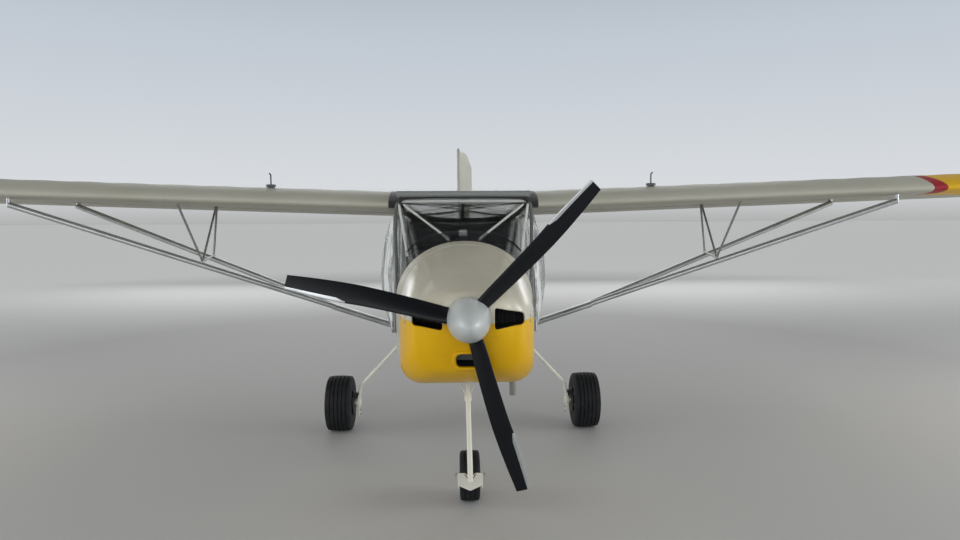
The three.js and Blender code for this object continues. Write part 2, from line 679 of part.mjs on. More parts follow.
function tailplane() {
  const { centre, tip, back, half, height, thickness } = TAILPLANE;
  const plan = slab([
    [-half, back], [-half, tip + 60], [-half + 90, tip], [0, centre],
    [half - 90, tip], [half, tip + 60], [half, back],
  ], thickness).translate(0, 0, height);
  const lugs = ELEVATOR_LUGS.flatMap((x) => [-x, x]).flatMap((x) => lugPlate(
    at(x, back - 25, height),
    at(x, ELEVATOR.hinge, height),
    at(1, 0, 0),
  ));
  return join(plan, ...lugs);
}

function elevator() {
  const { hinge, back, inner, innerBack, nose } = ELEVATOR;
  const { half, height } = TAILPLANE;
  const halves = [-1, 1].flatMap((side) => [
    slab([
      [side * inner, hinge], [side * innerBack, back], [side * (half - 120), back],
      [side * half, back - 110], [side * half, hinge],
    ], 2 * nose).translate(0, 0, height),
    rod(at(side * inner, hinge, height), at(side * half, hinge, height), nose, 12),
  ]);
  const torqueTube = rod(at(-inner - 40, hinge, height), at(inner + 40, hinge, height), 12, 10);
  const slots = ELEVATOR_LUGS.flatMap((x) => [-x, x]).map((x) => box(
    at(x - HINGE_SLOT / 2, 0, height - 60),
    at(x + HINGE_SLOT / 2, hinge + 22, height + 60),
  ));
  return cut(join(...halves, torqueTube), ...slots);
}

// Upright surfaces are drawn in plan and then stood on edge.
const upright = (geometry) => geometry.rotateY(-Math.PI / 2);

function fin() {
  const { rootFront, topFront, back, low, high, thickness } = FIN;
  const outline = upright(slab([
    [low, rootFront], [low, back], [high, back], [high, topFront + 90], [high - 60, topFront],
    [low + 120, rootFront + 110],
  ], thickness));
  const lugs = RUDDER_LUGS.slice(1).flatMap((z) => lugPlate(
    at(0, back - 25, z),
    at(0, RUDDER.hinge, z),
    at(0, 0, 1),
  ));
  const { centre, height } = TAILPLANE;
  const tailplaneTop = height + TAILPLANE.thickness / 2 + GAP;
  const platform = box(at(-200, centre - 40, 0), at(200, ELEVATOR.hinge + 22, tailplaneTop));
  return cut(join(outline, ...lugs), platform);
}

function rudder() {
  const { hinge, chord, low, high, nose, rest } = RUDDER;
  const plan = upright(slab([
    [low, hinge], [low, hinge + 340], [1700, hinge + chord], [2300, hinge + chord],
    [high - 20, hinge + 330], [high, hinge + 200], [high, hinge],
  ], 2 * nose));
  const post = rod(at(0, hinge, low), at(0, hinge, high), nose, 12);
  const slots = RUDDER_LUGS.map((z) => box(
    at(-60, 0, z - HINGE_SLOT / 2),
    at(60, hinge + 22, z + HINGE_SLOT / 2),
  ));
  return cut(join(plan, post), ...slots)
    .translate(0, -hinge, 0)
    .rotateZ(-THREE.MathUtils.degToRad(rest))
    .translate(0, hinge, 0);
}

const lowestRudderLug = lugPlate(
  at(0, REAR[REAR.length - 1].station - LUG_ROOT, RUDDER_LUGS[0]),
  at(0, RUDDER.hinge, RUDDER_LUGS[0]),
  at(0, 0, 1),
);
add('fuselage_rear', join(rearFuselage(), ...lowestRudderLug), CREAM);
add('tailplane', tailplane(), CREAM);
add('elevator', elevator(), CREAM);
add('fin', fin(), CREAM);
add('rudder', rudder(), CREAM);

// Main gear: bent spring rods with axles, wheels and tyres
const WHEEL_SIDES = 28;
const MAIN_TYRE = { x: 974, station: 2150, radius: 216, half: 100, bead: 82 };
const LEG_RADIUS = 12.5;
const AXLE_RADIUS = 12;
const BORE_PLAY = 0.5;
const LEG_PATH = { root: at(415, 1890, 800), knee: at(808, 2112, 362), end: at(827, 2142, 222) };
const KNEE_SHARE = 0.14;

function mainLeg() {
  const { root, knee, end } = LEG_PATH;
  const before = knee.clone().lerp(root, KNEE_SHARE);
  const after = knee.clone().lerp(end, 0.5);
  const bend = new THREE.QuadraticBezierCurve3(before, knee, after).getPoints(6);
  const { x, station, radius, half } = MAIN_TYRE;
  return cut(
    join(
      tube([root, ...bend, end], LEG_RADIUS),
      box(at(x - half - 60, station - 34, radius - 34), at(x - half - 26, station + 34, radius + 34)),
      rod(at(x - half - 30, station, radius), at(x + half + 8, station, radius), AXLE_RADIUS, 16),
      box(at(x - half - 45, station + 30, radius + 22), at(x - half - 18, station + 96, radius + 68)),
    ),
    tubOutside(GAP),
  );
}

const tyreProfile = (half, outer, bead) => [
  [-0.72 * half, bead], [-half, bead + 0.22 * (outer - bead)], [-half, bead + 0.68 * (outer - bead)],
  [-0.93 * half, bead + 0.9 * (outer - bead)], [-0.74 * half, bead + 0.985 * (outer - bead)], [0, outer],
  [0.74 * half, bead + 0.985 * (outer - bead)], [0.93 * half, bead + 0.9 * (outer - bead)],
  [half, bead + 0.68 * (outer - bead)], [half, bead + 0.22 * (outer - bead)], [0.72 * half, bead],
  [-0.72 * half, bead],
];

function mainHub() {
  const { half, bead } = MAIN_TYRE;
  const rim = bead - GAP;
  const bore = AXLE_RADIUS + BORE_PLAY;
  return turned(at(MAIN_TYRE.x, MAIN_TYRE.station, MAIN_TYRE.radius), [
    [-half - 10, bore], [-half - 10, 96], [-half - 4, 96], [-half - 4, 34], [-18, 40], [-18, 62],
    [-0.72 * half, 70], [-0.72 * half, rim], [0.72 * half, rim], [0.72 * half, 70],
    [18, 62], [18, 40], [0.72 * half, 34], [0.72 * half, bore], [-half - 10, bore],
  ], WHEEL_SIDES);
}

for (const [side, word] of [[-1, 'right'], [1, 'left']]) {
  add(`main_leg_${word}`, flipped(mainLeg(), side), CREAM);
  add(`main_wheel_${word}`, flipped(mainHub(), side), ALUMINIUM);
  add(`main_tyre_${word}`, flipped(turned(
    at(MAIN_TYRE.x, MAIN_TYRE.station, MAIN_TYRE.radius),
    tyreProfile(MAIN_TYRE.half, MAIN_TYRE.radius, MAIN_TYRE.bead),
    WHEEL_SIDES,
  ), side), RUBBER);
}

// Nose gear: steered leg in its socket, folded fork plate, wheel and tyre
const NOSE_TYRE = { x: 16, station: 726, radius: 147, half: 60, bead: 55 };
const NOSE_LEG_RADIUS = 16;
const FORK = { half: 73, front: 560, wall: 6, top: 220, notch: 194, side: 149, tip: 116, axleEnd: 92 };
const SOCKET = { radius: 27, low: 775, high: 940 };
// The leg leans sideways from the top of its socket down to the wheel.
const FORK_LEG_LOW = 180;
const legX = (z) => NOSE_TYRE.x * (SOCKET.high - z) / (SOCKET.high - FORK_LEG_LOW);
const onLeg = (z) => at(legX(z), NOSE_LEG_STATION, z);

function noseLeg() {
  const { half, front, wall, top, notch, side, tip, axleEnd } = FORK;
  const plate = new THREE.ExtrudeGeometry(new THREE.Shape([
    [-half, top], [-28, top], [0, notch], [28, top], [half, top], [half, side], [0, tip], [-half, side],
  ].map(([x, z]) => new THREE.Vector2(x, z))), { depth: wall, bevelEnabled: false })
    .rotateX(Math.PI / 2)
    .translate(NOSE_TYRE.x, front + wall, 0);
  const cheeks = [-1, 1].map((way) => box(
    at(NOSE_TYRE.x + way * half - (way > 0 ? wall : 0), front, side - 22),
    at(NOSE_TYRE.x + way * half + (way > 0 ? 0 : wall), NOSE_TYRE.station + 24, side + 20),
  ));
  const horns = [-1, 1].map((way) => rod(onLeg(662), onLeg(738).add(at(way * 32, 0, 0)), 5, 8));
  const axleEndAt = (way) => at(NOSE_TYRE.x + way * axleEnd, NOSE_TYRE.station, NOSE_TYRE.radius);
  return join(
    rod(onLeg(FORK_LEG_LOW), onLeg(SOCKET.high - 10), NOSE_LEG_RADIUS, 16),
    rod(onLeg(650), onLeg(684), 23, 16),
    rod(axleEndAt(-1), axleEndAt(1), 8, 16),
    plate, ...cheeks, ...horns,
  );
}

function noseSocket() {
  const { radius, low, high } = SOCKET;
  const bore = rod(onLeg(low - 10), onLeg(high - 8), NOSE_LEG_RADIUS + BORE_PLAY, 16);
  const arms = [-1, 1].flatMap((side) => [high - 30, low + 60].map((z) => rod(
    at(side * 10, NOSE_LEG_STATION + 22, z),
    at(side * 190, FIREWALL_STATION + 4, z + 10),
    10,
    8,
  )));
  const behind = box(at(-WIDE, FIREWALL_STATION - GAP, 0), at(WIDE, WIDE, WIDE));
  return cut(join(rod(onLeg(low), onLeg(high), radius, 16), ...arms), bore, behind);
}

function noseHub() {
  const { x, station, radius, half, bead } = NOSE_TYRE;
  const rim = bead - GAP;
  return turned(at(x, station, radius), [
    [-0.72 * half, 8.5], [-0.72 * half, rim], [0.72 * half, rim], [0.72 * half, 8.5], [-0.72 * half, 8.5],
  ], WHEEL_SIDES);
}
add('nose_leg', noseLeg(), CREAM);
add('nose_leg_socket', noseSocket(), STEEL);
add('nose_wheel', noseHub(), ALUMINIUM);
add('nose_tyre', turned(
  at(NOSE_TYRE.x, NOSE_TYRE.station, NOSE_TYRE.radius),
  tyreProfile(NOSE_TYRE.half, NOSE_TYRE.radius, NOSE_TYRE.bead),
  WHEEL_SIDES,
), RUBBER);

// Cabin cage: door posts, roof rails and bars, and the two brace tubes behind the screen
const POST_RADIUS = 11;
const CAGE = {
  front: [at(437, 1270, SILL - 5), at(451, 1299, 1690), at(415, 1308, 1785)],
  back: [at(463, 2050, SILL - 5), at(451, 2050, 1690), at(430, 2050, 1710)],
  railEnd: at(430, 2330, 1690),
};
const BRACE = { top: at(400, 1306, 1772), low: at(98, 1238, 1541) };

function cabinCage() {
  const sides = [-1, 1].flatMap((side) => [
    ...[CAGE.front, CAGE.back, [CAGE.front[2], CAGE.back[2], CAGE.railEnd], [BRACE.top, BRACE.low]],
  ].map((path) => tube(path.map((p) => mirrored(p, side)), path[0] === BRACE.top ? 8 : POST_RADIUS, 6)));
  const bars = [CAGE.front[2], CAGE.back[2], CAGE.railEnd].map((p) => rod(
    at(-p.x - 8, p.y, p.z),
    at(p.x + 8, p.y, p.z),
    POST_RADIUS,
    6,
  ));
  const spine = tube([CAGE.front[2], CAGE.back[2], CAGE.railEnd].map((p) => at(0, p.y, p.z)), 8, 6);
  return cut(join(...sides, ...bars, spine), box(at(-WIDE, 0, 0), at(WIDE, WIDE, SILL + GAP)));
}
add('cabin_cage', cabinCage(), STEEL);

// Leading edge fairing over the cabin, skylight and rear slope of the roof
const ROOF_HALF = WING_ROOT - 0.4;
const ROOF_BAR = { station: 1322, z: 1838, chord: 96, depth: 44 };
add('roof_fairing', strut(
  at(-ROOF_HALF, ROOF_BAR.station, ROOF_BAR.z),
  at(ROOF_HALF, ROOF_BAR.station, ROOF_BAR.z),
  ROOF_BAR.depth,
  ROOF_BAR.chord,
  16,
), ALUMINIUM);

const SKYLIGHT = { front: 1372, back: 2185, wall: 5 };
const roofHeight = (station) => {
  const u = (station - LEADING_STATION) / CHORD;
  const base = CENTRE_LEADING_HEIGHT + DIHEDRAL * WING_ROOT;
  return base - u * CHORD * Math.tan(INCIDENCE) + aerofoil(u, 1) * CHORD;
};
add('skylight', panel((u, v) => {
  const station = SKYLIGHT.front + (SKYLIGHT.back - SKYLIGHT.front) * v;
  return at((u - 0.5) * 2 * ROOF_HALF, station, roofHeight(station));
}, 1, 6, SKYLIGHT.wall), GLASS);
const REAR_SLOPE = { front: at(ROOF_HALF, 2189, roofHeight(2185)), back: at(421, 2398, 1691) };
add('rear_roof', panel((u, v) => {
  const edge = REAR_SLOPE.front.clone().lerp(REAR_SLOPE.back, v);
  return at((u - 0.5) * 2 * edge.x, edge.y, edge.z);
}, 1, 1, SKYLIGHT.wall), GLASS);

// Windscreen: straight lines from the boot cowl's rim to the bar under the leading edge
const SCREEN_WALL = 4;
const SCREEN_SEAM = 0.6;
const SCREEN = {
  low: 1163, rise: 380, topHalf: 421, topStation: 1284, topHeight: 1822, half: 409, flare: 44 / 252,
};
add('windscreen', panel((u, v) => {
  const turn = (u - 0.5) * Math.PI;
  const z = SCREEN.low + SCREEN.rise * Math.cos(turn);
  const station = SCREEN_BASE.front.y + (SCREEN_BASE.front.z + SCREEN_SEAM - z) / SCREEN_SLOPE;
  const half = SCREEN.half + SCREEN.flare * (station - SCREEN_BASE.front.y);
  const base = at(half * Math.sin(turn), station, z);
  const top = at((u - 0.5) * 2 * SCREEN.topHalf, SCREEN.topStation, SCREEN.topHeight);
  return base.lerp(top, v);
}, 16, 4, SCREEN_WALL), GLASS);

// Instrument panel with a round top
const PANEL = {
  half: 418, footHalf: 480, low: 1010, foot: 1130, side: 1200, top: 1530, front: 1226, thickness: 14,
};
function instrumentPanel() {
  const shape = new THREE.Shape();
  shape.moveTo(-PANEL.half, PANEL.foot);
  shape.lineTo(-PANEL.footHalf, PANEL.foot);
  shape.lineTo(-PANEL.footHalf, PANEL.low);
  shape.lineTo(PANEL.footHalf, PANEL.low);
  shape.lineTo(PANEL.footHalf, PANEL.foot);
  shape.lineTo(PANEL.half, PANEL.foot);
  shape.lineTo(PANEL.half, PANEL.side);
  shape.absellipse(0, PANEL.side, PANEL.half, PANEL.top - PANEL.side, 0, Math.PI, false, 0);
  const depth = PANEL.thickness;
  const plate = new THREE.ExtrudeGeometry(shape, { depth, bevelEnabled: false, curveSegments: 16 })
    .rotateX(Math.PI / 2)
    .translate(0, PANEL.front + depth, 0);
  return common(plate, bootInside(-BOOT_WALL - GAP));
}
add('instrument_panel', instrumentPanel(), BLACK);

// Doors: a tube frame on two pins along its top, and a blown clear panel outside it
const DOOR = {
  top: 1690, low: 925, topX: 451.4, lowX: 467.3, frontTop: 1330, frontLow: 1303, back: 2022, tube: 11,
  bulge: 102, wall: 4, seam: -0.7,
};
const PIN_REACH = -0.3;

function doorFrame() {
  const corners = [
    at(DOOR.topX, DOOR.frontTop, DOOR.top),
    at(DOOR.topX, DOOR.back, DOOR.top),
    at(DOOR.lowX, DOOR.back, DOOR.low),
    at(DOOR.lowX, DOOR.frontLow, DOOR.low),
  ];
  const [topFront, topBack, lowBack, lowFront] = corners;
  const hoop = tube([topFront, lowFront, lowBack, topBack], DOOR.tube);
  const overhang = at(0, DOOR.tube - 2, 0);
  const topTube = rod(topFront.clone().sub(overhang), topBack.clone().add(overhang), DOOR.tube, 8);
  const pins = rod(
    at(DOOR.topX, CAGE.front[1].y + POST_RADIUS + PIN_REACH, DOOR.top),
    at(DOOR.topX, CAGE.back[1].y - POST_RADIUS - PIN_REACH, DOOR.top),
    PIN_RADIUS,
    8,
  );
  return join(hoop, topTube, pins);
}

function doorGlass() {
  return panel((u, v) => {
    const z = DOOR.low - DOOR.tube + (DOOR.top - DOOR.low + 2 * DOOR.tube) * v;
    const front = DOOR.frontLow + (DOOR.frontTop - DOOR.frontLow) * v - DOOR.tube;
    const station = front + (DOOR.back + DOOR.tube - front) * u;
    const flatX = DOOR.lowX + (DOOR.topX - DOOR.lowX) * v + DOOR.tube + DOOR.wall + DOOR.seam;
    const bulge = DOOR.bulge * Math.sin(Math.PI * u) ** 0.55 * Math.sin(Math.PI * v) ** 0.6;
    return at(flatX + bulge, station, z);
  }, 10, 8, DOOR.wall);
}

// Rear side windows
const SIDE_WINDOW = { front: 2064, back: 2397, low: 900.3, top: 1676, lowX: 468, topX: 443 };
function sideWindow() {
  return panel((u, v) => at(
    SIDE_WINDOW.lowX + (SIDE_WINDOW.topX - SIDE_WINDOW.lowX) * v - 10 * u,
    SIDE_WINDOW.front + (SIDE_WINDOW.back - SIDE_WINDOW.front) * u,
    SIDE_WINDOW.low + (SIDE_WINDOW.top - SIDE_WINDOW.low) * v,
  ), 1, 1, DOOR.wall);
}

// Seats and sticks
const SEAT = {
  inner: 30, outer: 412, front: 1620, back: 2120, cushionTop: 985, floor: 726, backTop: 1480, thick: 95,
};
function seat() {
  const solid = alongX([
    [SEAT.front + 60, SEAT.floor], [SEAT.back - 60, SEAT.floor], [SEAT.back - 60, 880],
    [SEAT.back + 110, SEAT.backTop], [SEAT.back + 20, SEAT.backTop + 15],
    [SEAT.back - SEAT.thick - 60, SEAT.cushionTop], [SEAT.front, SEAT.cushionTop], [SEAT.front, 885],
  ], SEAT.inner, SEAT.outer);
  return common(solid, tubCavity());
}
const STICK = { x: 230, station: 1500, top: 1190 };
function controlStick() {
  const stick = join(
    rod(at(STICK.x, STICK.station, 725), at(STICK.x, STICK.station - 30, 1060), 11, 8),
    rod(at(STICK.x, STICK.station - 30, 1050), at(STICK.x, STICK.station - 20, STICK.top), 18, 10),
  );
  return common(stick, tubCavity());
}

const cabinPieces = {
  door_frame: [doorFrame(), STEEL],
  door_glass: [doorGlass(), GLASS],
  side_window: [sideWindow(), GLASS],
  seat: [seat(), SEAT_CLOTH],
  control_stick: [controlStick(), BLACK],
};
for (const [side, word] of [[-1, 'right'], [1, 'left']]) {
  for (const [name, [geometry, finish]] of Object.entries(cabinPieces)) {
    add(`${name}_${word}`, flipped(geometry, side), finish);
  }
}
add('rear_bulkhead', common(
  loft([2372, 2380].map((station) => section({ ...TUB[4], station, low: 750, high: 1640, half: 430 }))),
  tubCavity(),
), SEAT_CLOTH);

// The origin lies on the ground under the middle of the whole length.
const reach = new THREE.Box3().setFromObject(aircraft);
aircraft.position.y = -(reach.min.y + reach.max.y) / 2;

export default aircraft;
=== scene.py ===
# %% [markdown]
# A light two-seat high-wing aircraft, dressed for a photograph. The solids of the CAD model are the frame:
# they fix every size, place and joint, and nothing here moves them. Each thing that the eye rests on is then
# made again as a smooth surface over its solid, and each solid that stays gets a finish of its own. Lengths
# are in metres.

# %% Load the frame and keep its box
import json
import math

import bmesh
import bpy
import numpy as np
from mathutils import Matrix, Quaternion, Vector


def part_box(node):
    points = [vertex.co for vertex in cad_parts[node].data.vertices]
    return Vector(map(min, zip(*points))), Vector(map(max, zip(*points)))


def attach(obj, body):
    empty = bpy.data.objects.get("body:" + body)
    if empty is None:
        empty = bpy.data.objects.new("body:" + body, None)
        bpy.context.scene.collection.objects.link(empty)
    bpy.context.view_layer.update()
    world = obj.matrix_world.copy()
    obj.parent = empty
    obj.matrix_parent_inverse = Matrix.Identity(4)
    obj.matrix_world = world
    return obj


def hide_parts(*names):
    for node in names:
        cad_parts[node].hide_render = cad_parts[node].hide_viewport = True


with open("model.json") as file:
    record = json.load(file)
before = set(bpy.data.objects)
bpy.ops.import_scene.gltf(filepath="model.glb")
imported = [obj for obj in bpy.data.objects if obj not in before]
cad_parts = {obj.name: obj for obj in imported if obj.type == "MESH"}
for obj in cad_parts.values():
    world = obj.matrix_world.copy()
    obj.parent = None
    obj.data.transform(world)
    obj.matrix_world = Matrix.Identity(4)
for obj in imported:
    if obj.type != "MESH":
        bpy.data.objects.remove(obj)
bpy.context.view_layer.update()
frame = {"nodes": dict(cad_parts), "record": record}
NODES = frame["nodes"]

# %% [markdown]
# Aircraft are drawn from stations: distances aft of one chosen plane. Here it is the plane of the propeller,
# because the tip of the spinner is known to lie 290 mm ahead of it. Every table below is written in
# stations, and one small function turns a station into the y of the frame.

# %% Stations
SPINNER_NOSE = 0.290
PROPELLER_PLANE_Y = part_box("spinner")[0].y + SPINNER_NOSE
THRUST_HEIGHT = 1.198


def y_at(station):
    """y of a station: the station plus the y of the propeller plane."""
    return PROPELLER_PLANE_Y + station


SIDES = {"right": -1.0, "left": 1.0}
print("propeller plane at y", round(PROPELLER_PLANE_Y, 4))

# %% [markdown]
# All shapes are worked out as arrays of points. A grid of points, rows by columns, becomes a skin of
# four-sided faces. A ring closes on itself, and a closed body also needs its two ends covered,
# which a fan of triangles round the middle of each end does.

# %% From arrays of points to meshes


def grid_faces(rows, columns, across=False, along=False):
    """Faces of a grid: corner (i, j) joins (i+1, j), (i+1, j+1) and (i, j+1). Closed ones wrap to index
    0."""
    i = np.arange(rows if along else rows - 1)[:, None]
    j = np.arange(columns if across else columns - 1)[None, :]
    next_i = (i + 1) % rows
    next_j = (j + 1) % columns
    corners = [i * columns + j, i * columns + next_j, next_i * columns + next_j, next_i * columns + j]
    return np.stack([c.ravel() for c in np.broadcast_arrays(*corners)], axis=1)


def net(grid, across=False, along=False, flipped=False):
    """Points and faces of a grid of points, rows x columns x 3; flipped turns its faces over."""
    faces = grid_faces(*grid.shape[:2], across, along)
    return grid.reshape(-1, 3), (faces[:, ::-1] if flipped else faces).tolist()


def closed_body(rings):
    """Points and faces of a body through rings (rows x points x 3), with a fan of triangles over each
    end."""
    rings = np.asarray(rings)
    rows, columns, _ = rings.shape
    middles = np.stack([rings[0].mean(0), rings[-1].mean(0)])
    points, faces = net(rings, across=True)
    edge = np.arange(columns)
    after = (edge + 1) % columns
    first_fan = np.stack([np.full(columns, rows * columns), after, edge], axis=1)
    last = (rows - 1) * columns
    last_fan = np.stack([np.full(columns, rows * columns + 1), last + edge, last + after], axis=1)
    return np.concatenate([points, middles]), faces + first_fan.tolist() + last_fan.tolist()


def turned_body(profile, centre, axis, sides=64):
    """A body of revolution: profile rows are (distance along the axis, radius); the last row meets the
    first."""
    profile = np.asarray(profile, float)
    axis = np.asarray(axis, float)
    first = np.array([0.0, 0.0, 1.0]) if abs(axis[2]) < 0.9 else np.array([1.0, 0.0, 0.0])
    second = np.cross(axis, first)
    turn = np.linspace(0, 2 * math.pi, sides, endpoint=False)
    spoke = np.cos(turn)[:, None] * first + np.sin(turn)[:, None] * second
    distance, radius = profile[None, :, :1], profile[None, :, 1:]
    return net(np.asarray(centre, float) + distance * axis + radius * spoke[:, None, :], across=True,
               along=True)


def disc_rows(rows):
    """Rows of (distance, radius) closed through the bore."""
    return [(rows[0][0], 0.0)] + list(rows) + [(rows[-1][0], 0.0)]


def carried_ring(path, radius, sides=16, flat=1.0):
    """Rings carried along a path: at each point a circle, or an oval when flat is not 1, square to the
    path."""
    path = np.asarray(path, float)
    along = np.gradient(path, axis=0)
    along /= np.linalg.norm(along, axis=1)[:, None]
    start = np.array([0.0, 0.0, 1.0]) if abs(along[0][2]) < 0.9 else np.array([0.0, 1.0, 0.0])
    across = np.cross(along, start)
    across /= np.linalg.norm(across, axis=1)[:, None]
    upright = np.cross(across, along)
    turn = np.linspace(0, 2 * math.pi, sides, endpoint=False)
    radius = np.broadcast_to(np.asarray(radius, float), (len(path),))
    return (
        path[:, None, :]
        + radius[:, None, None] * np.cos(turn)[None, :, None] * across[:, None, :]
        + flat * radius[:, None, None] * np.sin(turn)[None, :, None] * upright[:, None, :]
    )


def smooth_path(corners, per_span=12):
    """A Catmull-Rom curve through the corners: each span is the usual cubic of its four neighbours."""
    corners = np.asarray(corners, float)
    padded = np.concatenate([[2 * corners[0] - corners[1]], corners, [2 * corners[-1] - corners[-2]]])
    t = np.linspace(0, 1, per_span, endpoint=False)[:, None]
    spans = [
        0.5 * (2 * b + (c - a) * t + (2 * a - 5 * b + 4 * c - d) * t**2 + (3 * b - a - 3 * c + d) * t**3)
        for a, b, c, d in zip(padded[:-3], padded[1:-2], padded[2:-1], padded[3:])
    ]
    return np.concatenate(spans + [corners[-1:]])


def mirrored(points, side):
    """The points with x times side, so -1 makes the other hand."""
    return np.asarray(points, float) * np.array([side, 1.0, 1.0])


def several(bodies):
    """One list of points and faces out of several."""
    points, faces, first = [], [], 0
    for some_points, some_faces in bodies:
        points.append(np.asarray(some_points, float))
        faces += [[corner + first for corner in face] for face in some_faces]
        first += len(some_points)
    return np.concatenate(points), faces


SHARP_ANGLE = math.radians(38)
MERGE_DISTANCE = 1e-5


def shaded(mesh):
    """The mesh with smooth faces and with its edges sharp past an angle."""
    mesh.polygons.foreach_set("use_smooth", np.ones(len(mesh.polygons), bool))
    mesh.set_sharp_from_angle(angle=SHARP_ANGLE)
    return mesh


def turned_outwards(mesh, merge_distance):
    """The mesh with its faces turned outwards, after its double points are merged."""
    shell = bmesh.new()
    shell.from_mesh(mesh)
    if merge_distance:
        bmesh.ops.remove_doubles(shell, verts=shell.verts, dist=merge_distance)
    bmesh.ops.recalc_face_normals(shell, faces=shell.faces)
    shell.to_mesh(mesh)
    shell.free()


def mesh_object(name, points, faces, merge_distance=None):
    """A new mesh object at the origin. With a merge distance it is a closed body, so it is turned
    outwards."""
    mesh = bpy.data.meshes.new(name)
    mesh.from_pydata(np.asarray(points, float).tolist(), [], [list(face) for face in faces])
    if merge_distance is not None:
        turned_outwards(mesh, merge_distance)
    made = bpy.data.objects.new(name, mesh)
    bpy.context.scene.collection.objects.link(made)
    return made


def piece(name, points, faces, slot, stands_for=(), body="airframe", finish=None, closed=True):
    """A piece of the aircraft that rides on a body, with a material slot of the record and, unless another
    is given, the finish of that slot. A closed one is merged and turned outwards; a sheet keeps its own
    faces."""
    made = mesh_object(name, points, faces, MERGE_DISTANCE if closed else None)
    shaded(made.data).materials.append(finish or FINISH_OF_SLOT[slot])
    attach(made, body)
    if stands_for:
        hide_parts(*stands_for)
    return made


def pair(name, bodies, slot, node="", body="airframe", finish=None):
    """The bodies as one piece on each side of the aircraft. The node that a piece stands for has its side in
    its name, and so has each body but the airframe."""
    points, faces = several(bodies)
    for side_name, side in SIDES.items():
        piece(f"{name}_{side_name}", mirrored(points, side), faces, slot,
              [f"{node}_{side_name}"] if node else (),
              body if body == "airframe" else f"{body}_{side_name}", finish)

# %% [markdown]
# The photograph was taken at a standing eye's height straight ahead of the nose, a little left of the centre
# line. The horizon gives the eye height and the tilt, and the spread of the wheels and wings gives the
# distance and lens.

# %% Camera
EYE = Vector((-0.073, PROPELLER_PLANE_Y - 3.360, 1.700))
SIGHT_LINE = Vector((0.0384, 0.9994, -0.0785))
FOCAL_LENGTH = 26.25
ROLL = math.radians(-0.3)
SENSOR_WIDTH = 36.0

camera_data = bpy.data.cameras.new("camera")
camera_data.lens = FOCAL_LENGTH
camera_data.sensor_width = SENSOR_WIDTH
camera_data.sensor_fit = "HORIZONTAL"
camera_data.clip_end = 200.0
camera = bpy.data.objects.new("camera", camera_data)
camera.location = EYE
look = SIGHT_LINE.to_track_quat("-Z", "Y") @ Quaternion((0.0, 0.0, 1.0), ROLL)
camera.rotation_euler = look.to_euler()
bpy.context.scene.collection.objects.link(camera)
bpy.context.scene.camera = camera
print("camera at", [round(v, 3) for v in EYE])

# %% [markdown]
# Every finish is made of the same few steps: a base colour that drifts between two near tones, a roughness
# that drifts with it, and a bump for the grain. What differs is the scale and the pattern, so one small
# helper makes a finish and each finish then adds what only it has. All patterns read object coordinates.

# %% Making a finish


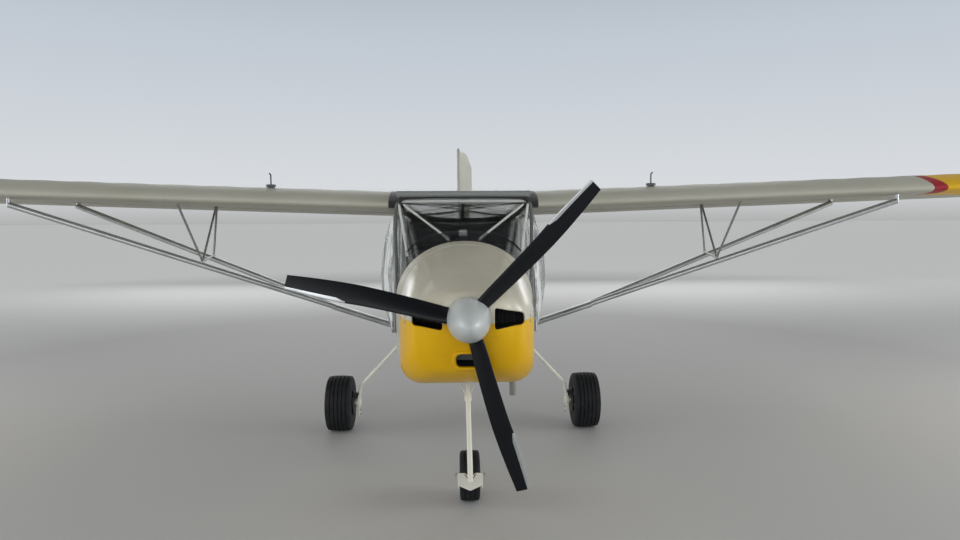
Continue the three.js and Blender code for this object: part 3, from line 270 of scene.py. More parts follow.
class Finish:
    """A node-built material: the shader, its object coordinates and small steps that link nodes to it."""

    def __init__(self, name, roughness=0.5, metallic=0.0, **sockets):
        self.material = bpy.data.materials.new(name)
        self.material.use_nodes = True
        self.tree = self.material.node_tree
        self.shader = self.tree.nodes["Principled BSDF"]
        self.shader.inputs["Roughness"].default_value = roughness
        self.shader.inputs["Metallic"].default_value = metallic
        for socket, value in sockets.items():
            self.shader.inputs[socket.replace("_", " ")].default_value = value
        self.place = self.tree.nodes.new("ShaderNodeTexCoord").outputs["Object"]

    def node(self, kind, links=(), **values):
        """A new node; values set its plain properties, and links join (input, output socket)."""
        made = self.tree.nodes.new("ShaderNode" + kind)
        for key, value in values.items():
            setattr(made, key, value)
        for socket, source in links:
            self.tree.links.new(source, made.inputs[socket])
        return made

    def feed(self, sockets, values):
        """Gives each socket its value: another socket's output, a number or a colour."""
        for socket, value in zip(sockets, values):
            if hasattr(value, "links"):
                self.tree.links.new(value, socket)
            else:
                socket.default_value = (*value, 1.0) if isinstance(value, tuple) else value

    def noise(self, scale, detail=4.0, rough=0.55, stretch=(1, 1, 1)):
        """Noise of a given scale, stretched along the axes."""
        mapping = self.node("Mapping", [("Vector", self.place)])
        mapping.inputs["Scale"].default_value = stretch
        made = self.node("TexNoise", [("Vector", mapping.outputs["Vector"])])
        self.feed([made.inputs[name] for name in ("Scale", "Detail", "Roughness")], (scale, detail, rough))
        return made.outputs["Fac"]

    def wave(self, scale, direction):
        """Bands along one axis."""
        made = self.node("TexWave", [("Vector", self.place)], bands_direction=direction)
        made.inputs["Scale"].default_value = scale
        return made.outputs["Fac"]

    def ramp(self, factor, low, shade, high, colour):
        """A colour ramp from the shade, at a low factor, to the colour at a high one."""
        made = self.node("ValToRGB", [("Fac", factor)])
        for element, position, tone in zip(made.color_ramp.elements, (low, high), (shade, colour)):
            element.position = position
            element.color = (*tone, 1.0)
        return made.outputs["Color"]

    def spread(self, factor, low, high, start=0.0, end=1.0):
        """The factor moved from start..end to low..high."""
        made = self.node("MapRange", [("Value", factor)])
        names = ("From Min", "From Max", "To Min", "To Max")
        self.feed([made.inputs[name] for name in names], (start, end, low, high))
        return made.outputs["Result"]

    def mix(self, factor, first, second):
        """Two colours mixed by a factor; a colour is a socket or a tuple."""
        made = self.node("Mix", data_type="RGBA")
        colours = [socket for socket in made.inputs if socket.type == "RGBA"]
        self.feed([made.inputs[0]] + colours, (factor, first, second))
        return [socket for socket in made.outputs if socket.type == "RGBA"][0]

    def math(self, operation, *values):
        """A math node on sockets or numbers."""
        made = self.node("Math", operation=operation)
        self.feed(made.inputs, values)
        return made.outputs[0]

    def bump(self, *layers):
        """Bumps laid over each other: each layer is (height, distance in metres, strength)."""
        below = None
        for height, distance, strength in layers:
            links = [("Height", height)] + ([("Normal", below)] if below else [])
            made = self.node("Bump", links)
            self.feed([made.inputs["Distance"], made.inputs["Strength"]], (distance, strength))
            below = made.outputs["Normal"]
        self.into("Normal", below)

    def into(self, socket, source):
        """Links a source to a socket of the shader."""
        self.tree.links.new(source, self.shader.inputs[socket])

# %% [markdown]
# The floor is plain and pale. The light is soft and comes mostly from behind and from both sides, so the
# nose is in gentle shade while edges and curved flanks catch long bright reflections. No shadow has a hard
# edge. The surround is brightest at the horizon and dim overhead, as under a wide roof that is open on all
# sides. Far off, where the lamps don't reach, the floor is paler and glows a little, like a field in
# daylight.

# %% Floor and light
FLOOR_HALF = 150.0
FLOOR_COLOUR = (0.50, 0.50, 0.495)
FAR_COLOUR = (0.96, 0.96, 0.96)
FAR_GLOW = 0.24
FLOOR_NEAR = 6.0
FLOOR_FAR = 16.0
# Columns: share of the way from straight down to straight up, colour
SURROUND_BANDS = [(0.0, (0.30, 0.30, 0.29)), (0.49, (0.45, 0.45, 0.44)), (0.52, (0.80, 0.83, 0.86)),
                  (0.62, (0.62, 0.68, 0.76)), (0.80, (0.20, 0.20, 0.18))]
SURROUND_STRENGTH = 0.85

floor = mesh_object("floor", FLOOR_HALF * np.array([[-1, -1, 0], [1, -1, 0], [1, 1, 0], [-1, 1, 0]]),
                    [(0, 1, 2, 3)])
paint = Finish("floor_paint", roughness=0.75)
away = paint.node("VectorMath", [(0, paint.place)], operation="LENGTH").outputs["Value"]
far = paint.spread(away, 0.0, 1.0, FLOOR_NEAR, FLOOR_FAR)
paint.into("Base Color", paint.mix(far, FLOOR_COLOUR, FAR_COLOUR))
paint.into("Emission Strength", paint.math("MULTIPLY", far, FAR_GLOW))
paint.shader.inputs["Emission Color"].default_value = (*FAR_COLOUR, 1.0)
floor.data.materials.append(paint.material)

world = bpy.data.worlds.new("pale_surround")
world.use_nodes = True
surround = world.node_tree.nodes
height = surround.new("ShaderNodeSeparateXYZ")
bands = surround.new("ShaderNodeValToRGB")
for k, (position, colour) in enumerate(SURROUND_BANDS):
    stop = bands.color_ramp.elements[k] if k < 2 else bands.color_ramp.elements.new(position)
    stop.position = position
    stop.color = (*colour, 1.0)
half_up = surround.new("ShaderNodeMath")
half_up.operation = "MULTIPLY_ADD"
half_up.inputs[1].default_value = 0.5
half_up.inputs[2].default_value = 0.5
for output, goal in [(surround.new("ShaderNodeTexCoord").outputs["Generated"], height.inputs[0]),
                     (height.outputs["Z"], half_up.inputs[0]), (half_up.outputs[0], bands.inputs["Fac"]),
                     (bands.outputs["Color"], surround["Background"].inputs["Color"])]:
    world.node_tree.links.new(output, goal)
surround["Background"].inputs["Strength"].default_value = SURROUND_STRENGTH
bpy.context.scene.world = world
bpy.context.scene.view_settings.view_transform = "Standard"

# Columns: name, place, point that it faces, width, height, power in watts
LAMPS = [
    ("sky_behind", (0.0, 10.5, 4.5), (0.0, 0.0, 1.2), 16.0, 5.0, 420.0),
    ("fill_ahead", (-2.0, -11.0, 4.0), (0.0, -2.0, 1.2), 8.0, 4.0, 215.0),
    ("side_right", (-8.5, -1.5, 3.0), (0.0, -1.6, 1.2), 5.0, 4.0, 210.0),
    ("side_left", (8.5, -2.4, 3.0), (0.0, -1.8, 1.2), 5.0, 4.0, 300.0),
]
for name, place, target, width, height, power in LAMPS:
    lamp_data = bpy.data.lights.new(name, "AREA")
    lamp_data.shape = "RECTANGLE"
    lamp_data.size = width
    lamp_data.size_y = height
    lamp_data.energy = power
    lamp = bpy.data.objects.new(name, lamp_data)
    lamp.location = place
    lamp.rotation_euler = (Vector(target) - Vector(place)).to_track_quat("-Z", "Y").to_euler()
    bpy.context.scene.collection.objects.link(lamp)
print("lamps:", len(LAMPS))

# %% [markdown]
# The cowling is glossy gelcoat: an even colour, a clear top layer that shows soft reflections, a faint
# orange peel, and a little soil in slow patches. The upper half is cream and the lower half is a
# strong yellow.

# %% Gelcoat


def gelcoat(name, colour, shade, soil, coat=0.35):
    """Coated colour that drifts between two near tones, with soil in slow patches and a fine orange peel."""
    made = Finish(name, roughness=0.32, Coat_Weight=coat, Coat_Roughness=0.12,
                  Specular_IOR_Level=coat + 0.10)
    drift = made.ramp(made.noise(2.5, 3.0), 0.35, shade, 0.65, colour)
    patches = made.spread(made.noise(9.0, 6.0, 0.7), 0.0, 0.35, 0.56, 0.80)
    made.into("Base Color", made.mix(patches, drift, soil))
    made.into("Roughness", made.spread(made.noise(30.0, 5.0), 0.24, 0.42))
    made.bump((made.noise(420.0, 2.0), 0.0004, 0.12), (made.noise(4.0, 2.0), 0.004, 0.10))
    return made.material


CREAM_GELCOAT = gelcoat("cream_gelcoat", (0.69, 0.65, 0.52), (0.60, 0.56, 0.45), (0.42, 0.38, 0.30))
YELLOW_GELCOAT = gelcoat("yellow_gelcoat", (0.88, 0.51, 0.001), (0.80, 0.44, 0.001), (0.42, 0.22, 0.01),
                         0.15)

# %% [markdown]
# The airframe is covered in cloth that has been shrunk, sealed and painted. Real cloth shows the tapes over
# the ribs in raking light; this finish gives only the fine weave under the paint. The weave is two crossed
# waves, very fine.

# %% Painted cloth
# Both cloth tones are set darker than the cream paint itself: painted shade, for the dim light the airframe
# sits in.
SHADED_CLOTH_COLOUR = (0.54, 0.53, 0.45)
SHADED_CLOTH_DARK_TONE = (0.48, 0.47, 0.39)
SWOOSH_BEND = 0.99
# Columns: start, station of the vertex, colour beyond the edge
SWOOSH_EDGES = [(3.195, 1.371, (0.36, 0.006, 0.022)), (3.280, 1.428, (0.80, 0.46, 0.003))]


def painted_cloth(name):
    """Satin paint over a fine weave: two crossed waves for the threads and slow noise for the paint."""
    made = Finish(name, roughness=0.5, Specular_IOR_Level=0.4, Coat_Weight=0.08, Coat_Roughness=0.3)
    drift = made.ramp(made.noise(1.6, 4.0), 0.3, SHADED_CLOTH_DARK_TONE, 0.7, SHADED_CLOTH_COLOUR)
    grime = made.spread(made.noise(14.0, 6.0, 0.7, (1, 0.4, 1)), 0.0, 0.22, 0.55, 0.85)
    made.into("Base Color", made.mix(grime, drift, tuple(0.62 * c for c in SHADED_CLOTH_DARK_TONE)))
    made.into("Roughness", made.spread(made.noise(22.0, 5.0), 0.42, 0.6))
    threads = made.math("ADD", made.wave(180.0, "X"), made.wave(180.0, "Y"))
    made.bump((threads, 0.0003, 0.12), (made.noise(3.0, 3.0), 0.004, 0.15))
    return made


def tip_cloth(name):
    """The wing's cloth: cream, with a red band and yellow beyond it. Each edge is the parabola
    |x| = start + SWOOSH_BEND (y - vertex)^2, so the band sweeps outwards behind the leading edge."""
    made = painted_cloth(name)
    parts = made.node("SeparateXYZ", [("Vector", made.place)])
    away = made.math("ABSOLUTE", parts.outputs["X"])
    painted = made.shader.inputs["Base Color"].links[0].from_socket
    for start, vertex, colour in SWOOSH_EDGES:
        aft = made.math("SUBTRACT", parts.outputs["Y"], y_at(vertex))
        sweep = made.math("MULTIPLY", made.math("MULTIPLY", aft, aft), SWOOSH_BEND)
        beyond = made.math("GREATER_THAN", made.math("SUBTRACT", away, sweep), start)
        painted = made.mix(beyond, painted, colour)
    made.into("Base Color", painted)
    return made.material


CREAM_CLOTH = painted_cloth("cream_cloth").material
WING_CLOTH = tip_cloth("wing_cloth")

# %% [markdown]
# Struts, wheels and small fittings are bare or painted metal. Drawn aluminium has long faint streaks,
# painted steel has chips and a thin film of dust, and the cage in the cabin is a dull primer.

# %% Metals


def drawn_metal(name, colour, roughness, stretch=(1, 1, 1)):
    """Bare metal with fine streaks and a blotchy oxide film."""
    made = Finish(name, roughness=roughness, metallic=0.85)
    film = made.noise(7.0, 5.0, 0.6)
    made.into("Base Color", made.ramp(film, 0.3, tuple(0.78 * c for c in colour), 0.7, colour))
    made.into("Roughness",
              made.spread(made.noise(45.0, 4.0, 0.6, stretch), roughness - 0.1, roughness + 0.12))
    made.bump((made.noise(160.0, 3.0, 0.6, stretch), 0.0003, 0.2))
    return made.material


def painted_metal(name, colour, shade, roughness=0.42, chips=(0.25, 0.24, 0.22)):
    """Paint with small chips where a high noise passes a limit, and dust in slow patches."""
    made = Finish(name, roughness=roughness, Specular_IOR_Level=0.45)
    tone = made.ramp(made.noise(6.0, 4.0), 0.3, shade, 0.7, colour)
    spots = made.spread(made.noise(55.0, 6.0, 0.75), 0.0, 0.8, 0.70, 0.74)
    made.into("Base Color", made.mix(spots, tone, chips))
    made.into("Roughness", made.spread(made.noise(20.0, 4.0), roughness - 0.08, roughness + 0.14))
    made.bump((made.noise(240.0, 3.0), 0.0003, 0.2))
    return made.material


STRUT_ALUMINIUM = drawn_metal("strut_aluminium", (0.62, 0.64, 0.65), 0.38, (0.05, 1, 1))
CAST_ALLOY = drawn_metal("cast_alloy", (0.30, 0.31, 0.32), 0.55)
BARE_STEEL = drawn_metal("bare_steel", (0.36, 0.35, 0.33), 0.45)
DARK_STEEL = drawn_metal("dark_steel", (0.055, 0.055, 0.06), 0.45)
CREAM_STEEL = painted_metal("cream_steel", (0.93, 0.91, 0.81), (0.86, 0.83, 0.72))
CAGE_PAINT = painted_metal("cage_paint", (0.13, 0.14, 0.13), (0.08, 0.09, 0.085), 0.5, (0.3, 0.3, 0.28))

# %% [markdown]
# The blades are black composite with a soft sheen, the spinner a pale grey satin paint.
# Moulded plastic in the cabin is black with a fine grain.

# %% Propeller and plastic finishes


def satin(name, colour, shade, roughness, grain=380.0, coat=0.0, specular=0.45):
    """Even satin colour with a fine grain and slow tone."""
    made = Finish(name, roughness=roughness, Specular_IOR_Level=specular, Coat_Weight=coat,
                  Coat_Roughness=0.2)
    made.into("Base Color", made.ramp(made.noise(5.0, 4.0), 0.3, shade, 0.7, colour))
    made.into("Roughness", made.spread(made.noise(24.0, 5.0), roughness - 0.07, roughness + 0.1))
    made.bump((made.noise(grain, 3.0), 0.0003, 0.18))
    return made.material


BLADE_BLACK = satin("blade_black", (0.0018, 0.0034, 0.0070), (0.001, 0.002, 0.004), 0.42, specular=0.30)
SPINNER_GREY = satin("spinner_grey", (0.60, 0.64, 0.63), (0.53, 0.57, 0.56), 0.34, 200.0, 0.2)
CABIN_BLACK = satin("cabin_black", (0.016, 0.016, 0.018), (0.010, 0.010, 0.011), 0.6)
PALE_PLASTIC = satin("pale_plastic", (0.70, 0.70, 0.68), (0.62, 0.62, 0.60), 0.45)

# %% [markdown]
# The doors, screen and roof are thin clear plastic sheet. It is never flat: the sheet waves between its
# fastenings, and those waves are what the eye sees, as long white reflections of the sky. On the doors, pale
# streaks along the folds are painted reflections as well.

# %% Clear sheet


def clear_sheet(name, tint, waves, strength, alpha=0.42, clearness=1.0, streaks=False):
    """Thin clear sheet with soft waves in the surface and a faint haze of scratches. Streaks make it pale
    and opaque in long upright folds, which are painted reflections of the sky in the sheet's folds."""
    made = Finish(name, roughness=0.06, Transmission_Weight=clearness, IOR=1.06, Specular_IOR_Level=1.0,
                  Alpha=alpha)
    made.into("Base Color", made.ramp(made.noise(3.0, 4.0), 0.3, tuple(0.9 * c for c in tint), 0.7, tint))
    made.into("Roughness", made.spread(made.noise(35.0, 6.0, 0.7), 0.03, 0.2, 0.45, 0.8))
    made.bump((made.noise(waves, 2.0, 0.5, (1.0, 1.6, 0.35)), 0.03, strength))
    if streaks:
        # Pale opaque streaks along the folds: painted reflections.
        folds = made.noise(9.0, 6.0, 0.62, (1.0, 1.6, 0.20))
        made.into("Alpha", made.spread(folds, 0.30, 1.0, 0.45, 0.55))
        made.into("Transmission Weight", made.spread(folds, 1.0, 0.0, 0.48, 0.56))
    return made.material


# The doors get the streaks: painted reflections in their folds.
DOOR_SHEET = clear_sheet("door_sheet", (0.92, 0.95, 0.94), 8.0, 0.9, streaks=True)
SCREEN_SHEET = clear_sheet("screen_sheet", (0.92, 0.94, 0.94), 2.0, 0.12)

# %% [markdown]
# Tyres are black rubber greyed by dust in slow patches. The seats are a grey woven cloth.

# %% Rubber and seat cloth


def rubber(name):
    """Near-black rubber with dust where slow noise is high."""
    made = Finish(name, roughness=0.75, Specular_IOR_Level=0.35)
    dust = made.spread(made.noise(11.0, 6.0, 0.7), 0.0, 0.3, 0.45, 0.8)
    made.into("Base Color", made.mix(dust, (0.010, 0.011, 0.013), (0.070, 0.070, 0.070)))
    made.bump((made.noise(260.0, 4.0), 0.0006, 0.35))
    return made.material


def woven(name, colour, shade, thread):
    """Two crossed waves for the yarns, darker in the gaps between them, with a soft sheen."""
    made = Finish(name, roughness=0.9, Sheen_Weight=0.35, Sheen_Roughness=0.5)
    yarns = made.math("MULTIPLY", made.wave(thread, "X"), made.wave(thread, "Z"))
    tone = made.ramp(yarns, 0.1, shade, 0.6, colour)
    worn = made.spread(made.noise(4.0, 4.0), 0.0, 0.3, 0.4, 0.8)
    made.into("Base Color", made.mix(worn, tone, tuple(1.5 * c for c in colour)))
    made.bump((yarns, 0.0008, 0.5), (made.noise(6.0, 3.0), 0.004, 0.2))
    return made.material


TYRE_RUBBER = rubber("tyre_rubber")
SEAT_CLOTH = woven("seat_cloth", (0.075, 0.080, 0.088), (0.030, 0.032, 0.036), 160.0)

# %% [markdown]
# First every solid of the frame gets the finish that its real piece has. The pieces made later stand in
# front of the solids whose surface is too plain for the eye.

# %% Finishes for the solids
FINISH_OF_SLOT = {
    "cream_gelcoat": CREAM_GELCOAT,
    "yellow_gelcoat": YELLOW_GELCOAT,
    "painted_fabric": CREAM_CLOTH,
    "grey_aluminium": STRUT_ALUMINIUM,
    "cream_steel": CREAM_STEEL,
    "bare_steel": BARE_STEEL,
    "black_composite": BLADE_BLACK,
    "satin_grey": SPINNER_GREY,
    "black_plastic": CABIN_BLACK,
    "clear_sheet": SCREEN_SHEET,
    "tyre_rubber": TYRE_RUBBER,
    "seat_cloth": SEAT_CLOTH,
    "cast_alloy": CAST_ALLOY,
}
SLOT_OF_NODE = {row["node"]: row["material_slot"] for row in frame["record"]["subparts"]}
for node, solid in NODES.items():
    solid.data.materials.clear()
    solid.data.materials.append(FINISH_OF_SLOT[SLOT_OF_NODE[node]])
print("finished solids:", len(NODES))

# %% [markdown]
# The body of the aircraft is lofted: a table gives, at a few stations, the half width, the lowest and
# highest point and the radii of the corners, and a smooth curve runs through each column. Between two
# stations the section is therefore never a straight blend, which is what gives moulded work its flow.

# %% Sections along the body
QUARTER_STEPS = 14


def body_sections(table, count=10):
    """Rings from rows of (station, half width, low, high, low corner radius, shoulder width, shoulder
    height), with a Catmull-Rom curve through each column and count steps to a span. Each ring is four
    quarter ellipses: two circles below, two ellipses above, joined by straight lines."""
    rows = smooth_path(table, count)
    station, half, low, high, corner, shoulder, crown = (rows[:, k][:, None] for k in range(7))
    turn = np.linspace(0, math.pi / 2, QUARTER_STEPS)[None, :]

    def quarter(centre_x, centre_z, radius_x, radius_z, start):
        x = centre_x + radius_x * np.cos(turn + start)
        z = centre_z + radius_z * np.sin(turn + start)
        return np.stack([x, np.broadcast_to(y_at(station), x.shape), z], axis=2)

    return np.concatenate([
        quarter(half - corner, low + corner, corner, corner, -math.pi / 2),
        quarter(half - shoulder, high - crown, shoulder, crown, 0.0),
        quarter(shoulder - half, high - crown, shoulder, crown, math.pi / 2),
        quarter(corner - half, low + corner, corner, corner, math.pi),
    ], axis=1)


def settled(made):
    """The piece with its modifiers worked into its mesh."""
    bpy.context.view_layer.update()
    graph = bpy.context.evaluated_depsgraph_get()
    mesh = bpy.data.meshes.new_from_object(made.evaluated_get(graph))
    made.modifiers.clear()
    made.data = shaded(mesh)
    return made


def cutter(points, faces):
    """A closed body, not part of the aircraft, that cuts a hole and is then removed."""
    return mesh_object("cutter", points, faces, 0.0)


def holed(made, tools):
    """The piece less its cutters."""
    for tool in tools:
        step = made.modifiers.new("hole", "BOOLEAN")
        step.operation = "DIFFERENCE"
        step.solver = "EXACT"
        step.object = tool
    settled(made)
    for tool in tools:
        bpy.data.objects.remove(tool)
    return made


def walled(name, points, faces, slot, wall, stands_for=(), body="airframe", finish=None):
    """A piece that is an open sheet with a wall, which grows inwards."""
    made = piece(name, points, faces, slot, stands_for, body, finish, closed=False)
    step = made.modifiers.new("wall", "SOLIDIFY")
    step.thickness = wall
    step.offset = -1.0
    return settled(made)


def kept_side(points, faces, place, normal):
    """The part of a mesh on the side of a plane that its normal points away from, cut cleanly at the
    plane."""
    shell = bmesh.new()
    corners = [shell.verts.new(point) for point in np.asarray(points, float).tolist()]
    for face in faces:
        shell.faces.new([corners[k] for k in face])
    bmesh.ops.bisect_plane(
        shell, geom=shell.verts[:] + shell.edges[:] + shell.faces[:],
        plane_co=place, plane_no=normal, clear_outer=True,
    )
    shell.verts.index_update()
    kept = np.array([vertex.co for vertex in shell.verts])
    left = [[vertex.index for vertex in face.verts] for face in shell.faces]
    shell.free()
    return kept, left


def rounded_outline(corners, radius, steps=7):
    """A polygon with its corners rounded: near a corner the outline is the quadratic curve that starts and
    ends one radius away from it, along its two sides."""
    corners = np.asarray(corners, float)
    before = np.roll(corners, 1, axis=0) - corners
    after = np.roll(corners, -1, axis=0) - corners
    before /= np.linalg.norm(before, axis=1)[:, None]
    after /= np.linalg.norm(after, axis=1)[:, None]
    t = np.linspace(0, 1, steps)[None, :, None]
    start = (corners + radius * before)[:, None, :]
    end = (corners + radius * after)[:, None, :]
    curve = (1 - t) ** 2 * start + 2 * t * (1 - t) * corners[:, None, :] + t**2 * end
    return curve.reshape(-1, 2)


def front_ring(outline, station):
    """An outline of (x, z) set at a station."""
    return np.stack([outline[:, 0], np.full(len(outline), y_at(station)), outline[:, 1]], axis=1)


def flight_prism(outline, start, end):
    """A prism along the flight line: an outline of (x, z) carried from one station to another."""
    return closed_body([front_ring(np.asarray(outline, float), station) for station in (start, end)])


def side_prism(outline, low_x, high_x):
    """A plate drawn in the side view: an outline of (station, z) carried from one x to another."""
    outline = np.asarray(outline, float)
    return closed_body([np.stack([np.full(len(outline), x), y_at(outline[:, 0]), outline[:, 1]], axis=1)
                        for x in (low_x, high_x)])

# %% [markdown]
# The cowling closes round the engine. Its nose is a rounded lip behind the spinner, and from there it swells
# back to the width of the cabin. The upper half is cream, the lower half yellow, and the seam runs level.
# Two inlets with round corners lie beside the spinner, and a slot under it has a raised lip.

# %% Cowling
# Columns: station, half width, low, high, low corner radius, shoulder width, shoulder height
COWL = [
    (0.028, 0.128, 1.085, 1.300, 0.100, 0.126, 0.105),
    (0.045, 0.165, 1.030, 1.325, 0.110, 0.155, 0.120),
    (0.075, 0.220, 0.978, 1.337, 0.130, 0.205, 0.140),
    (0.130, 0.290, 0.900, 1.352, 0.140, 0.270, 0.170),
    (0.300, 0.350, 0.815, 1.388, 0.125, 0.333, 0.230),
    (0.600, 0.380, 0.757, 1.452, 0.115, 0.367, 0.290),
    (0.910, 0.398, 0.735, 1.518, 0.120, 0.388, 0.345),
]
COWL_WALL = 0.005
COWL_SPLIT = 1.170
SEAM = 0.0006
HUB_STATION = 0.034
SHAFT_HOLE = 0.085
INLET_CORNERS = [(0.128, 1.137), (0.278, 1.158), (0.278, 1.212), (0.128, 1.248)]
INLET_DEPTH = 0.42
INLET_ROUND = 0.018
SCOOP_CORNERS = [(-0.062, 0.944), (0.062, 0.944), (0.062, 1.016), (-0.062, 1.016)]
SCOOP_DEPTH = 0.33
SCOOP_ROUND = 0.030
NOSE_LEG_STATION = 0.545
NOSE_LEG_HOLE = 0.060
HOLE_LOW = 0.6
HOLE_HIGH = 0.95
EXHAUST = {"x": 0.274, "station": 0.720, "hole": 0.027, "radius": 0.019, "end": 0.634}
LEVEL_UP = (0.0, 0.0, 1.0)
LEVEL_DOWN = (0.0, 0.0, -1.0)


def cowl_skin():
    """The rings of the table, closed in front by a ring round the shaft."""
    rings = body_sections(COWL)
    hub = np.array([0.0, y_at(HUB_STATION), THRUST_HEIGHT])
    spokes = rings[0] - hub
    spokes[:, 1] = 0
    hub_ring = hub + SHAFT_HOLE * spokes / np.linalg.norm(spokes, axis=1)[:, None]
    return net(np.concatenate([[hub_ring], rings]), across=True, flipped=True)


def inlet_outline(side):
    """An inlet with round corners, in the front view."""
    return rounded_outline(np.array(INLET_CORNERS) * (side, 1), INLET_ROUND)


def inlet_cutters():
    """The two inlets, each a prism."""
    return [cutter(*flight_prism(inlet_outline(side), 0.0, INLET_DEPTH)) for side in (-1, 1)]


def upright_hole(x, station, radius):
    """A round hole through the bottom of the cowling."""
    rows = disc_rows([(HOLE_LOW, radius), (HOLE_HIGH, radius)])
    return cutter(*turned_body(rows, (x, y_at(station), 0.0), (0, 0, 1), 32))


cowl = cowl_skin()
dome = kept_side(*cowl, (0, 0, COWL_SPLIT + SEAM), LEVEL_DOWN)
bowl = kept_side(*cowl, (0, 0, COWL_SPLIT - SEAM), LEVEL_UP)
cowl_dome = walled("cowl_dome", *dome, "cream_gelcoat", COWL_WALL, ["cowl_upper"])
cowl_bowl = walled("cowl_bowl", *bowl, "yellow_gelcoat", COWL_WALL, ["cowl_lower"])
scoop_outline = rounded_outline(SCOOP_CORNERS, SCOOP_ROUND)
holed(cowl_dome, inlet_cutters())
holed(cowl_bowl, inlet_cutters() + [
    cutter(*flight_prism(scoop_outline, 0.0, SCOOP_DEPTH)),
    upright_hole(0.0, NOSE_LEG_STATION, NOSE_LEG_HOLE),
    upright_hole(EXHAUST["x"], EXHAUST["station"], EXHAUST["hole"]),
])
print("cowl faces:", len(cowl_dome.data.polygons), len(cowl_bowl.data.polygons))

# %% [markdown]
# Behind the inlets lies the dark inside of the nose: a near-black duct whose far end shows the fins of the
# engine. The duct, the fins and the duct behind the slot below are all near black: painted shade inside the
# cowling. The slot below has a lip that stands a few millimetres proud, and the seam is held by a row of
# quarter-turn fasteners. Each of these is small, but together they tell the eye that the shell is hollow.

# %% Ducts, scoop lip and fasteners
DUCT = (0.085, 0.225, 1.06)
SCOOP_DUCT = (0.10, 0.32, 1.0)
LIP_BACK = 0.002
COWL_MIDDLE = 1.15
FASTENER_STATIONS = (0.200, 0.330, 0.460, 0.590, 0.720, 0.850)
FASTENER_DROP = 0.014
FASTENER = disc_rows([(-0.002, 0.0075), (0.0012, 0.0075), (0.0020, 0.0055)])
FIN_COUNT = 8
FIN_FIRST = 0.138
FIN_PITCH = 0.019
FIN_THICKNESS = 0.003


def tapered_duct(outline, start, end, grow):
    """A tube with a floor: the outline at the start, grown by a share about its middle at the end, and
    closed."""
    middle = outline.mean(0)
    rows = [(start, 1.0), (0.5 * (start + end), 0.5 * (1 + grow)), (end, grow), (end, 0.0)]
    rings = [front_ring(middle + share * (outline - middle), station) for station, share in rows]
    return net(np.array(rings), across=True, flipped=True)


def skin_station(x, z):
    """The station at which the cowl's skin passes a point of the front view, by the nearest ring of the
    table."""
    rings = body_sections(COWL, count=24)
    heights = rings[:, :, 2]
    inside = (np.abs(rings[:, :, 0]).max(1) > abs(x)) & (heights.max(1) > z) & (heights.min(1) < z)
    flat = rings[inside][:, :, [0, 2]]
    polar = np.arctan2(flat[:, :, 1] - COWL_MIDDLE, flat[:, :, 0])
    nearest = np.abs(polar - math.atan2(z - COWL_MIDDLE, x)).argmin(1)
    reach = np.hypot(*(flat[np.arange(len(flat)), nearest] - (0, COWL_MIDDLE)).T)
    return float(np.interp(math.hypot(x, z - COWL_MIDDLE), reach, rings[inside][:, 0, 1])) - y_at(0.0)


def lip_ring(outline, width, proud):
    """A raised lip round an outline: a half-round strip that follows the cowl's skin."""
    away = outline - outline.mean(0)
    away /= np.linalg.norm(away, axis=1)[:, None]
    skin = np.array([y_at(skin_station(x, z)) for x, z in outline])
    rows = [((1 - math.cos(angle)) / 2, LIP_BACK - proud * math.sin(angle) ** 0.7)
            for angle in np.linspace(0, math.pi, 7)]
    rings = []
    for share, back in rows + [(1.0, 3 * LIP_BACK), (0.0, 3 * LIP_BACK)]:
        out = outline + away * width * share
        rings.append(np.stack([out[:, 0], skin + back, out[:, 1]], axis=1))
    return net(np.array(rings), across=True, along=True)


def fin_block(side):
    """The cylinder's cooling fins behind an inlet: thin plates that stand across the duct's end."""
    plates = []
    for k in range(FIN_COUNT):
        x = side * (FIN_FIRST + FIN_PITCH * k)
        lean = 0.018 * math.sin(2.3 * k)
        outline = [(0.176 + lean, 1.085), (0.222, 1.085), (0.222, 1.230 + lean), (0.190, 1.230 + lean)]
        plates.append(side_prism(outline, x, x + FIN_THICKNESS))
    return several(plates)


# The scoop's duct is near black: painted shade inside the cowling.
piece("scoop_duct", *tapered_duct(scoop_outline, *SCOOP_DUCT), "black_plastic", closed=False)
piece("scoop_lip", *lip_ring(scoop_outline, 0.024, 0.020), "yellow_gelcoat")
for side_name, side in SIDES.items():
    outline = inlet_outline(side)
    duct = tapered_duct(outline[::-1] if side < 0 else outline, *DUCT)
    # The inlet duct is near black: painted shade inside the nose.
    piece(f"inlet_duct_{side_name}", *duct, "black_plastic", closed=False)
    rim = lip_ring(outline, 0.010, 0.005)
    for name, normal in (("cream", LEVEL_DOWN), ("yellow", LEVEL_UP)):
        part = kept_side(*rim, (0, 0, COWL_SPLIT), normal)
        piece(f"inlet_rim_{name}_{side_name}", *part, f"{name}_gelcoat", closed=False)
    # The fins get the near-black cabin finish, not their alloy grey: painted shade.
    piece(f"cooling_fins_{side_name}", *fin_block(side), "cast_alloy", finish=CABIN_BLACK)
fasteners = []
cowl_rings = body_sections(COWL, count=24)
for station in FASTENER_STATIONS:
    ring = cowl_rings[np.abs(cowl_rings[:, 0, 1] - y_at(station)).argmin()]
    for side in (-1, 1):
        flank = ring[np.sign(ring[:, 0]) == side]
        flank = flank[np.argsort(flank[:, 2])]
        for z in (COWL_SPLIT - FASTENER_DROP, COWL_SPLIT + FASTENER_DROP):
            x = float(np.interp(z, flank[:, 2], np.abs(flank[:, 0])))
            fasteners.append(turned_body(FASTENER, (side * x, ring[0, 1], z), (side, 0, 0), 20))
piece("cowl_fasteners", *several(fasteners), "grey_aluminium")
print("ducts and lips made")

# %% [markdown]
# A spinner is turned: one profile swept round the thrust line. It is a long egg, blunt at the very tip.
# The profile below is a power curve between the tip and the back plate, so its slope never breaks.

# %% Spinner
SPINNER = {"radius": 0.108, "nose": -0.290, "back": 0.020, "fullness": 0.60}


